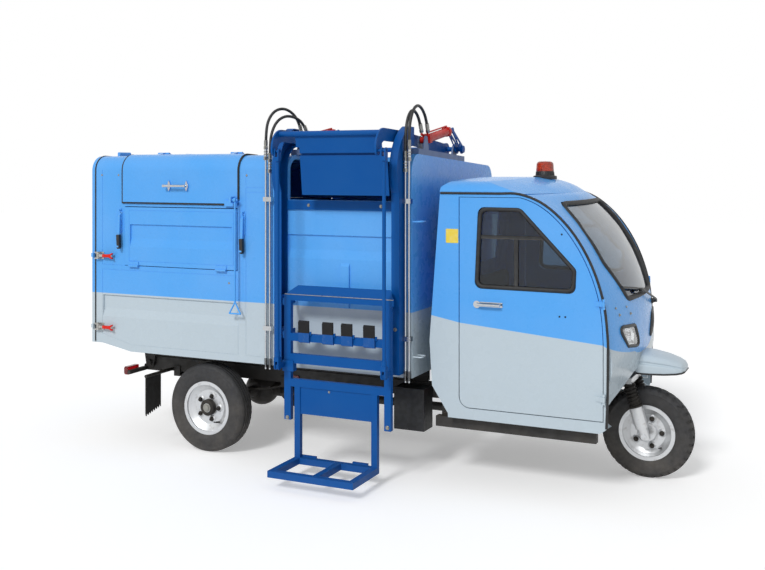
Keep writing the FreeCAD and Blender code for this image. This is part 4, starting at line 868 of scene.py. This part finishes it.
def makeHeadlamp(side, s):
    corners = [(s * y, z) for y, z in headlamp["corners"]]
    loop = spaced(roundedLoop(corners, headlamp["round"], 4), headlamp["gap"])
    share, deep = headlamp["inset"], headlamp["deep"]
    middleY, middleZ = s * headlamp["middle"][0], headlamp["middle"][1]
    middle = onNose(middleY, middleZ)
    inner = [(middleY + (y - middleY) * share, middleZ + (z - middleZ) * share) for y, z in loop]
    pipeAlong([onNose(y, z, 0.002) for y, z in inner], headlamp["bezel"], closed=True)
    finishPiece("headlamp_bezel_" + side, blackPlastic, "chassis", 60)
    # lens: the rounded outline filled on the nose's curve
    drawLine([onNose(y, z, 0.004) for y, z in inner], True)
    bpy.ops.mesh.edge_face_add()
    extrude((-0.003, 0, 0))
    bpy.ops.mesh.select_all(action="SELECT")
    bpy.ops.mesh.quads_convert_to_tris(ngon_method="BEAUTY")
    turnOutwards()
    lens = finishPiece("headlamp_lens_" + side, lampLens, "chassis", 20)
    # bowl: the outline drawn back into the nose and closed behind
    drawLine([onNose(y, z, -0.002) for y, z in inner], True)
    extrude((-deep * 0.6, 0, 0), (1, 0.92, 0.92), middle)
    extrude((-deep * 0.4, 0, 0), (1, 0.75, 0.75), middle)
    bpy.ops.mesh.edge_face_add()
    parts = [pieceInHand()]
    floor, rim = headlamp["floor"], headlamp["rim"]
    for y, z, r in headlamp["reflectors"]:
        foot = onNose(s * y, z, -deep + 0.004)
        dish = [(r * a, r * b) for a, b in headlamp["dish"]]
        parts.append(turnProfile(foot, (1, 0, 0), [(0, floor), (r * 0.22, floor)] + dish + [
            (r + rim, dish[-1][1]), (r + rim, 0), (0, 0)], 36))
        parts.append(turnProfile(foot, (1, 0, 0), [(0, 0.001), (r * 0.16, 0.001), (r * 0.16, r * 0.42),
                                                   (r * 0.1, r * 0.5), (0, r * 0.52)], 16))
    joinParts(parts)
    finishPiece("headlamp_bowl_" + side, lampChrome, "chassis", 30)
    return lens


for lens in [makeHeadlamp(side, s) for side, s in sides.items()]:
    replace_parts(lens, "headlamps")
print("headlamps made")


# Beacon: a ribbed black base with a flange, and a red-orange lens with upright prisms

beaconLamp = {
    "foot": (0.996, 0, 1.794), "baseSteps": 96, "ribs": (0.052, 0.008, 0.029), "ribDepth": 0.002,
    "base": [(0, -0.017), (0.0730, -0.017), (0.0740, -0.014), (0.0735, 0.001), (0.0690, 0.005),
             (0.0610, 0.006), (0.0590, 0.008), (0.0570, 0.0290), (0.0550, 0.0325), (0.0500, 0.0340),
             (0, 0.0340)],
    "domeSteps": 72, "prisms": (0.035, 0.080), "prismDepth": 0.975,
    "dome": [(0, 0.0335), (0.0545, 0.0335), (0.0550, 0.036), (0.0520, 0.078), (0.0500, 0.084),
             (0.0450, 0.0905), (0.0370, 0.0940), (0.0170, 0.0955), (0, 0.0958)],
    "bulb": [(0, 0.033), (0.022, 0.033), (0.022, 0.046), (0.013, 0.050), (0.013, 0.070), (0.008, 0.074),
             (0, 0.075)],
}


def makeBeacon():
    foot, up = spot(*beaconLamp["foot"]), (0, 0, 1)
    least, low, high = beaconLamp["ribs"]
    bottom, top = beaconLamp["prisms"]

    def step(away, steps):               # which step round the axis this is
        return math.atan2(away.y, away.x) % (2 * math.pi) / (2 * math.pi / steps)

    def inRib(face):
        away = face.center - foot
        return (least < math.hypot(away.x, away.y) and low < away.z < high
                and int(step(away, beaconLamp["baseSteps"])) % 4 < 2)

    def inPrism(vertex):
        away = vertex.co - foot
        return bottom < away.z < top and round(step(away, beaconLamp["domeSteps"])) % 2 == 0

    turnProfile(foot, up, beaconLamp["base"], beaconLamp["baseSteps"])
    pick("polygons", inRib)
    bpy.ops.mesh.extrude_region_shrink_fatten(TRANSFORM_OT_shrink_fatten={"value": -beaconLamp["ribDepth"]})
    finishPiece("beacon_base", blackPlastic, "chassis")
    turnProfile(foot, up, beaconLamp["dome"], beaconLamp["domeSteps"])
    pick("vertices", inPrism)
    share = beaconLamp["prismDepth"]
    bpy.ops.transform.resize(value=(share, share, 1), center_override=foot)
    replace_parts(finishPiece("beacon_dome", beaconLens, "chassis", 18), "beacon")
    turnProfile(foot, up, beaconLamp["bulb"], 20)
    finishPiece("beacon_bulb", lampChrome, "chassis")


makeBeacon()
print("beacon made")


# Lid handles: a bright bar on two posts with diamond feet, over the lid's own bar

lidHandle = {
    "barX": (-1.367, -1.185), "posts": (-1.335, -1.195), "barY": 0.764, "z": 1.730, "face": 0.7368,
    "foot": (0.014, 0.039), "footRound": 0.004, "plate": 0.003, "screws": 0.027,
    # radius and distance from the end of the bar, which is the same at both ends
    "knob": [(0, 0), (0.0070, 0), (0.0098, 0.003), (0.0098, 0.012), (0.0084, 0.015)],
    "post": [(0, 0), (0.0120, 0), (0.0115, 0.004), (0.0078, 0.008), (0.0074, 0.026), (0, 0.026)],
    "screw": [(0, 0), (0.0042, 0), (0.0036, 0.0016), (0, 0.0022)],
}
for side, s in sides.items():
    (x0, x1), z, face = lidHandle["barX"], lidHandle["z"], lidHandle["face"]
    knob, (across, up) = lidHandle["knob"], lidHandle["foot"]
    far = [(r, x1 - x0 - a) for r, a in reversed(knob)]
    parts = [turnProfile(spot(x0, s * lidHandle["barY"], z), (1, 0, 0), knob + far, 24)]
    for x in lidHandle["posts"]:
        parts.append(turnProfile(spot(x, s * face, z), (0, s, 0), lidHandle["post"], 20))
        corners = [(x, z - up), (x + across, z), (x, z + up), (x - across, z)]
        sidePlate(roundedLoop(corners, lidHandle["footRound"], 3), s * face, s * lidHandle["plate"])
        parts.append(softenEdges(0.0008, 1))
        for away in (-lidHandle["screws"], lidHandle["screws"]):
            parts.append(turnProfile(spot(x, s * (face + lidHandle["plate"]), z + away), (0, s, 0),
                                     lidHandle["screw"], 12))
    joinParts(parts)
    finishPiece("lid_handle_" + side, chrome, "lid_" + side)
print("lid handles fitted")


# Front mudguard: a pressed sheet with a step along each flank, edged in black rubber

mudguard = {
    # x, half width, crown and lower edge of each station, nose to tip
    "stations": [(1.588, 0.150, 0.757, 0.640), (1.660, 0.149, 0.752, 0.640), (1.745, 0.136, 0.737, 0.642),
                 (1.810, 0.115, 0.717, 0.646), (1.838, 0.095, 0.702, 0.650), (1.850, 0.072, 0.688, 0.654)],
    # across and up, as shares of half width and height
    "half": [(1.0, 0.0), (1.0, 0.40), (0.985, 0.46), (0.925, 0.49), (0.915, 0.56), (0.955, 0.63),
             (0.955, 0.69), (0.90, 0.78), (0.78, 0.91), (0.55, 1.0), (0.28, 1.03), (0.0, 1.04)],
    "tip": (0.003, 0.86), "sheet": 0.003, "edging": 0.0055,
}


def makeMudguard():
    stations, half = mudguard["stations"], mudguard["half"]
    x, wide, crown, low = stations[0]
    section = half + [(-u, v) for u, v in reversed(half[:-1])]
    drawLine([spot(x, u * wide, low + v * (crown - low)) for u, v in section])
    for before, (x, wide, crown, low) in zip(stations, stations[1:]):
        extrude((x - before[0], 0, low - before[3]),
                (1, wide / before[1], (crown - low) / (before[2] - before[3])), spot(x, 0, low))
    move, share = mudguard["tip"]
    extrude((move, 0, 0), (1, share, share), spot(x + move, 0, low))
    bpy.ops.mesh.edge_face_add()
    turnOutwards()
    sheet = pieceInHand().modifiers.new("sheet", "SOLIDIFY")
    sheet.thickness = mudguard["sheet"]
    sheet.offset = -1
    bpy.ops.object.modifier_apply(modifier=sheet.name)
    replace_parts(finishPiece("mudguard_front", greyEnamel, "chassis", 17), "front_mudguard")
    right, left = [[spot(x, s * wide, low) for x, wide, crown, low in stations] for s in (-1, 1)]
    pipeAlong(right + left[::-1], mudguard["edging"])
    finishPiece("mudguard_edging", sealRubber, "chassis", 60)


makeMudguard()
print("front mudguard pressed and edged")


# Handles of the latches: moulded grips at the flaps, red levers at the tailgate clamps

grips = {
    # each outline is x and z from the latch, each plate its y, thickness and softened edge
    "latches": ((-1.744, 1.303), (-0.765, 1.303)),
    "grip": [(-0.0130, 0.095), (0.0110, 0.097), (0.0150, 0.012), (0.0100, 0.0), (-0.0040, 0.0),
             (-0.0080, 0.010)],
    "gripPlate": (0.7325, 0.027, 0.004, 3),
    "clamps": ((-1.880, 0.767), (-1.880, 1.252)),
    "lever": [(0, -0.010), (0.058, -0.0105), (0.080, -0.021), (0.086, -0.017), (0.072, 0),
              (0.086, 0.017), (0.080, 0.021), (0.058, 0.0105), (0, 0.010)],
    "leverPlate": (0.738, 0.016, 0.0025, 2),
}


def makeGrips(places, outline, plate, s):
    y, thickness, soft, segments = plate
    joinParts([sidePlate([(x + a, z + b) for a, b in outline], s * y, s * thickness) for x, z in places])
    softenEdges(soft, segments)


for side, s in sides.items():
    makeGrips(grips["latches"], grips["grip"], grips["gripPlate"], s)
    finishPiece("latch_grips_" + side, blackPlastic, "bed")
    makeGrips(grips["clamps"], grips["lever"], grips["leverPlate"], s)
    finishPiece("clamp_levers_" + side, leverRed, "bed")
print("latch grips and clamp levers fitted")


# Bolts, screws and the steel that bins have worn bare on the shield's fold

bolts = {
    # head's place, distance across flats and height; all of them face outwards on the lift's side
    "lift_bolts": ("bed", [((-0.286, -0.7310, 1.618), 0.014, 0.007), ((0.205, -0.7310, 1.618), 0.014, 0.007),
                           ((0.3292, -0.8000, 0.905), 0.016, 0.008), ((-0.465, -0.8000, 0.905), 0.016, 0.008),
                           ((-0.465, -0.8000, 0.700), 0.016, 0.008)]),
    "carriage_bolts": ("carriage", [((-0.3485, -0.8800, 0.343), 0.017, 0.008),
                                    ((0.3160, -0.8800, 0.351), 0.017, 0.008),
                                    ((-0.067, -0.8740, 0.519), 0.010, 0.005)]),
}
for name, (body, heads) in bolts.items():
    joinParts([hexHead(spot(*there), (0, -1, 0), across, height) for there, across, height in heads])
    finishPiece(name, zinc, body)

fold = {"points": [(-0.366, -0.8803, 1.0865), (-0.010, -0.8807, 1.0865), (0.355, -0.8803, 1.0865)],
        "wear": 0.0026}
pipeAlong([spot(*point) for point in fold["points"]], fold["wear"])
finishPiece("worn_fold", zinc, "carriage")

mirrorBolts = {"places": [(-0.523, 1.065), (-0.374, 1.057), (-0.484, 1.024), (-0.323, 1.014)],
               "profile": [(0, 0), (0.0095, 0), (0.0095, 0.003), (0.0060, 0.0045), (0.0060, 0.009),
                           (0.0040, 0.0115), (0, 0.012)], "sunk": -0.001, "near": 0.01}
parts = []
for y, z in mirrorBolts["places"]:
    near = mirrorBolts["near"]
    out = (onNose(y, z + near) - onNose(y, z)).cross(onNose(y + near, z) - onNose(y, z))
    out = -out if out.x < 0 else out
    parts.append(turnProfile(onNose(y, z, mirrorBolts["sunk"]), out, mirrorBolts["profile"], 18))
joinParts(parts)
finishPiece("mirror_bolts", zinc, "chassis")

screws = {"places": [(1.266, 1.020), (1.299, 1.020), (1.279, 1.477)], "face": 0.6598,
          "profile": [(0, 0), (0.0055, 0), (0.0050, 0.0018), (0.0018, 0.0026), (0.0015, 0.0014), (0, 0.0014)]}
for side, s in sides.items():
    joinParts([turnProfile(spot(x, s * screws["face"], z), (0, s, 0), screws["profile"], 14)
               for x, z in screws["places"]])
    finishPiece("door_screws_" + side, blackSteel, "cab_door_" + side)
print("bolts and screws placed")


# Wiper: pivot, sprung arm and a blade with its rubber lip

wiper = {
    # each point is y, z and how far it stands off the nose
    "pivot": (0.360, 1.006, -0.004), "lean": (1, 0, 0.28),
    "boss": [(0, 0), (0.019, 0), (0.019, 0.010), (0.014, 0.016), (0.014, 0.034), (0.011, 0.040), (0, 0.041)],
    "arm": [(0.360, 1.006, 0.032), (0.270, 1.032, 0.040), (-0.050, 1.116, 0.034), (-0.100, 1.128, 0.028)],
    "armRadius": 0.0065, "armBend": 0.02,
    "bladeEnds": ((-0.400, 1.172), (0.020, 1.120)), "bladeSteps": 8,
    "rails": ((0.020, 0.0055), (0.009, 0.0032)),             # stand-off and radius of the spine and the lip
    "joint": (-0.100, 1.128, 0.018), "block": ((-0.006, -0.016, -0.009), (0.016, 0.016, 0.009)),
}
parts = [turnProfile(onNose(*wiper["pivot"]), wiper["lean"], wiper["boss"], 24),
         pipeAlong([onNose(*point) for point in wiper["arm"]], wiper["armRadius"], wiper["armBend"])]
(y0, z0), (y1, z1) = wiper["bladeEnds"]
shares = [i / wiper["bladeSteps"] for i in range(wiper["bladeSteps"] + 1)]
for proud, radius in wiper["rails"]:
    parts.append(pipeAlong([onNose(y0 + (y1 - y0) * t, z0 + (z1 - z0) * t, proud) for t in shares], radius))
startBlock(*[onNose(*wiper["joint"]) + Vector(corner) for corner in wiper["block"]])
parts.append(softenEdges(0.003))
joinParts(parts)
finishPiece("windscreen_wiper", blackPlastic, "chassis", 50)
print("wiper fitted")


# Blank sticker on the cab's right side

sticker = {"x": (0.590, 0.667), "z": (1.410, 1.492), "y": -0.6600, "thickness": -0.0009, "round": 0.004}


def rectangle(x, z):                     # the corners between two x and two z
    return [(x[0], z[0]), (x[1], z[0]), (x[1], z[1]), (x[0], z[1])]


loop = roundedLoop(rectangle(sticker["x"], sticker["z"]), sticker["round"], 3)
sidePlate(loop, sticker["y"], sticker["thickness"])
softenEdges(0.0004, 1)
finishPiece("blank_sticker", stickerFilm, "chassis")
print("blank sticker applied")


# Rivets along the box, rope loops on its front wall, red reflectors on the chassis rails

fixings = {
    "rivets": ((-1.908, 1.800), (-1.765, 1.800), (-0.742, 1.800), (-0.875, 1.110)), "sunk": 0.0005,
    "rivet": [(0, 0), (0.0075, 0), (0.0072, 0.0015), (0.0050, 0.0035), (0, 0.0042)],
    "loopX": (0.3995, 0.452), "loopY": (0.700, 0.630), "loopZ": (1.530, 0.735), "loopRadius": 0.0045,
    "loopBend": 0.016, "weld": [(0, 0), (0.0095, 0), (0.0085, 0.002), (0.0050, 0.0045), (0, 0.0045)],
    "reflectors": (-0.560, 0.480), "reflectorHalf": 0.032, "reflectorZ": (0.452, 0.492), "railY": 0.419,
    "reflectorRound": 0.006, "reflectorPlate": 0.008,
}


def makeFixings(side, s):
    face = s * (loadBox["half"] - fixings["sunk"])
    joinParts([turnProfile(spot(x, face, z), (0, s, 0), fixings["rivet"], 16) for x, z in fixings["rivets"]])
    finishPiece("box_rivets_" + side, zinc, "bed")
    parts = []
    wall, reach = fixings["loopX"]
    outer, inner = [s * y for y in fixings["loopY"]]
    for z in fixings["loopZ"]:
        bar = [spot(x, y, z) for x, y in ((wall, outer), (reach, outer), (reach, inner), (wall, inner))]
        parts.append(pipeAlong(bar, fixings["loopRadius"], fixings["loopBend"]))
        for y in (outer, inner):
            parts.append(turnProfile(spot(wall, y, z), (1, 0, 0), fixings["weld"], 14))
    joinParts(parts)
    finishPiece("rope_loops_" + side, twoTone, "bed", 50)
    parts = []
    half = fixings["reflectorHalf"]
    for x in fixings["reflectors"]:
        corners = rectangle((x - half, x + half), fixings["reflectorZ"])
        loop = roundedLoop(corners, fixings["reflectorRound"], 3)
        sidePlate(loop, s * fixings["railY"], s * fixings["reflectorPlate"])
        pick("polygons", lambda face: abs(face.normal.y) > 0.9)
        bpy.ops.mesh.inset(thickness=0.003, depth=-0.001, use_individual=True)
        parts.append(softenEdges(0.001, 1))
    joinParts(parts)
    finishPiece("rail_reflectors_" + side, tailLens, "chassis")


for side, s in sides.items():
    makeFixings(side, s)
print("rivets, rope loops and reflectors fitted")


# Seat: cushion and backrest swelled by cloth simulation from slightly smaller shapes

seat = {
    "cushion": ((0.650, -0.410, 0.694), (1.000, 0.410, 0.768)),
    "backrest": ((0.570, -0.410, 0.800), (0.628, 0.410, 1.170)),
    "cuts": 3, "edge": 0.022, "voxel": 0.006, "pressure": 4.0, "stiffness": 12, "mass": 0.3, "frames": 20,
    "cap": 0.012, "sink": 0.003, "fill": 0.8,
}


def swell(piece, lowest):
    # blows the pad up as cloth, with a cap on how far each point moves
    start = [vertex.co.copy() for vertex in piece.data.vertices]
    cloth = piece.modifiers.new("swell", "CLOTH")
    cloth.settings.use_pressure = True
    cloth.settings.uniform_pressure_force = seat["pressure"]
    cloth.settings.effector_weights.gravity = 0
    cloth.settings.tension_stiffness = seat["stiffness"]
    cloth.settings.mass = seat["mass"]
    cloth.point_cache.frame_start = 1
    cloth.point_cache.frame_end = seat["frames"]
    for number in range(1, seat["frames"] + 1):
        bpy.context.scene.frame_set(number)
    bpy.context.view_layer.objects.active = piece
    bpy.ops.object.modifier_apply(modifier=cloth.name)
    bpy.context.scene.frame_set(1)
    for vertex, before in zip(piece.data.vertices, start):
        moved = vertex.co - before
        if moved.length > seat["cap"]:
            vertex.co = before + moved.normalized() * seat["cap"]
        vertex.co.z = max(vertex.co.z, lowest)


def makeCushion(name):
    low, high = seat[name]
    startBlock(spot(*low), spot(*high))
    bpy.ops.object.mode_set(mode="EDIT")
    bpy.ops.mesh.select_all(action="SELECT")
    bpy.ops.mesh.subdivide(number_cuts=seat["cuts"])
    piece = softenEdges(seat["edge"], 4)
    remesh = piece.modifiers.new("remesh", "REMESH")
    remesh.mode = "VOXEL"
    remesh.voxel_size = seat["voxel"]
    bpy.ops.object.modifier_apply(modifier=remesh.name)
    swell(piece, low[2] - seat["sink"])
    smooth = piece.modifiers.new("smooth", "SUBSURF")
    smooth.levels = smooth.render_levels = 1
    bpy.ops.object.modifier_apply(modifier=smooth.name)
    finishPiece("seat_" + name, seatVinyl, "chassis", 60)
    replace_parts(piece, "seat_pads")


makeCushion("cushion")
makeCushion("backrest")
print("seat cushions swelled")


# Camera, light and floor

view = {
    "stand": (2.738, -6.117, 1.833),     # the photograph's point of view, in the truck's coordinates
    "turn": 25.1,                        # degrees from square on to the side, towards the front
    "lens": 47.2, "sensor": 36.0, "shiftY": -0.150,
}
lights = {
    "sunStrength": 1.75, "sunAngle": 14.0, "sunTurn": (52, 0, -4),
    "fillStrength": 0.46, "background": "#FFFFFF", "floor": "#F2F2F2", "floorLift": 0.31, "floorSize": 60,
}


def makeCamera():
    camera = bpy.data.cameras.new("PhotoCamera")
    camera.lens = view["lens"]
    camera.sensor_width = view["sensor"]
    camera.shift_y = view["shiftY"]
    stand = bpy.data.objects.new("PhotoCamera", camera)
    stand.location = spot(*view["stand"])
    stand.rotation_euler = (math.radians(90), 0, math.radians(view["turn"]))
    bpy.context.scene.collection.objects.link(stand)
    bpy.context.scene.camera = stand


def makeSun():
    sun = bpy.data.lights.new("KeySun", "SUN")
    sun.energy = lights["sunStrength"]
    sun.angle = math.radians(lights["sunAngle"])
    lamp = bpy.data.objects.new("KeySun", sun)
    lamp.rotation_euler = [math.radians(a) for a in lights["sunTurn"]]
    bpy.context.scene.collection.objects.link(lamp)


def seenDirectly(owner):
    # 1 for rays from the camera and those that gloss or glass sends on, else 0
    rays = addNode(owner, "ShaderNodeLightPath").outputs
    seen = compute(owner, "MAXIMUM", rays["Is Camera Ray"], rays["Is Glossy Ray"])
    return compute(owner, "MAXIMUM", seen, rays["Is Transmission Ray"])


def makeWorld():
    # plain white surroundings: bright where they are seen, a level fill elsewhere
    world = bpy.data.worlds.new("StudioWorld")
    bpy.context.scene.world = world
    world.use_nodes = True
    strength = spread(world, seenDirectly(world), 0.0, 1.0, lights["fillStrength"], 1.0)
    setSockets(world, world.node_tree.nodes["Background"], {"Color": linear(lights["background"]),
                                                            "Strength": strength})


def makeFloor():
    # white where it is seen, with the truck's shadow kept
    bpy.ops.mesh.primitive_plane_add(size=lights["floorSize"], location=(0, 0, 0))
    floor = bpy.context.object
    floor.name = "StudioFloor"
    material = newMaterial("StudioFloor")
    lift = compute(material, "MULTIPLY", seenDirectly(material), lights["floorLift"])
    floor.data.materials.append(feed(material, {
        "Base Color": linear(lights["floor"]), "Roughness": 0.9, "Emission Strength": lift,
        "Emission Color": linear(lights["background"])}))


makeCamera()
clearSelection()
makeSun()
makeWorld()
makeFloor()
bpy.context.scene.view_settings.view_transform = "Standard"
print("camera, light and floor set")
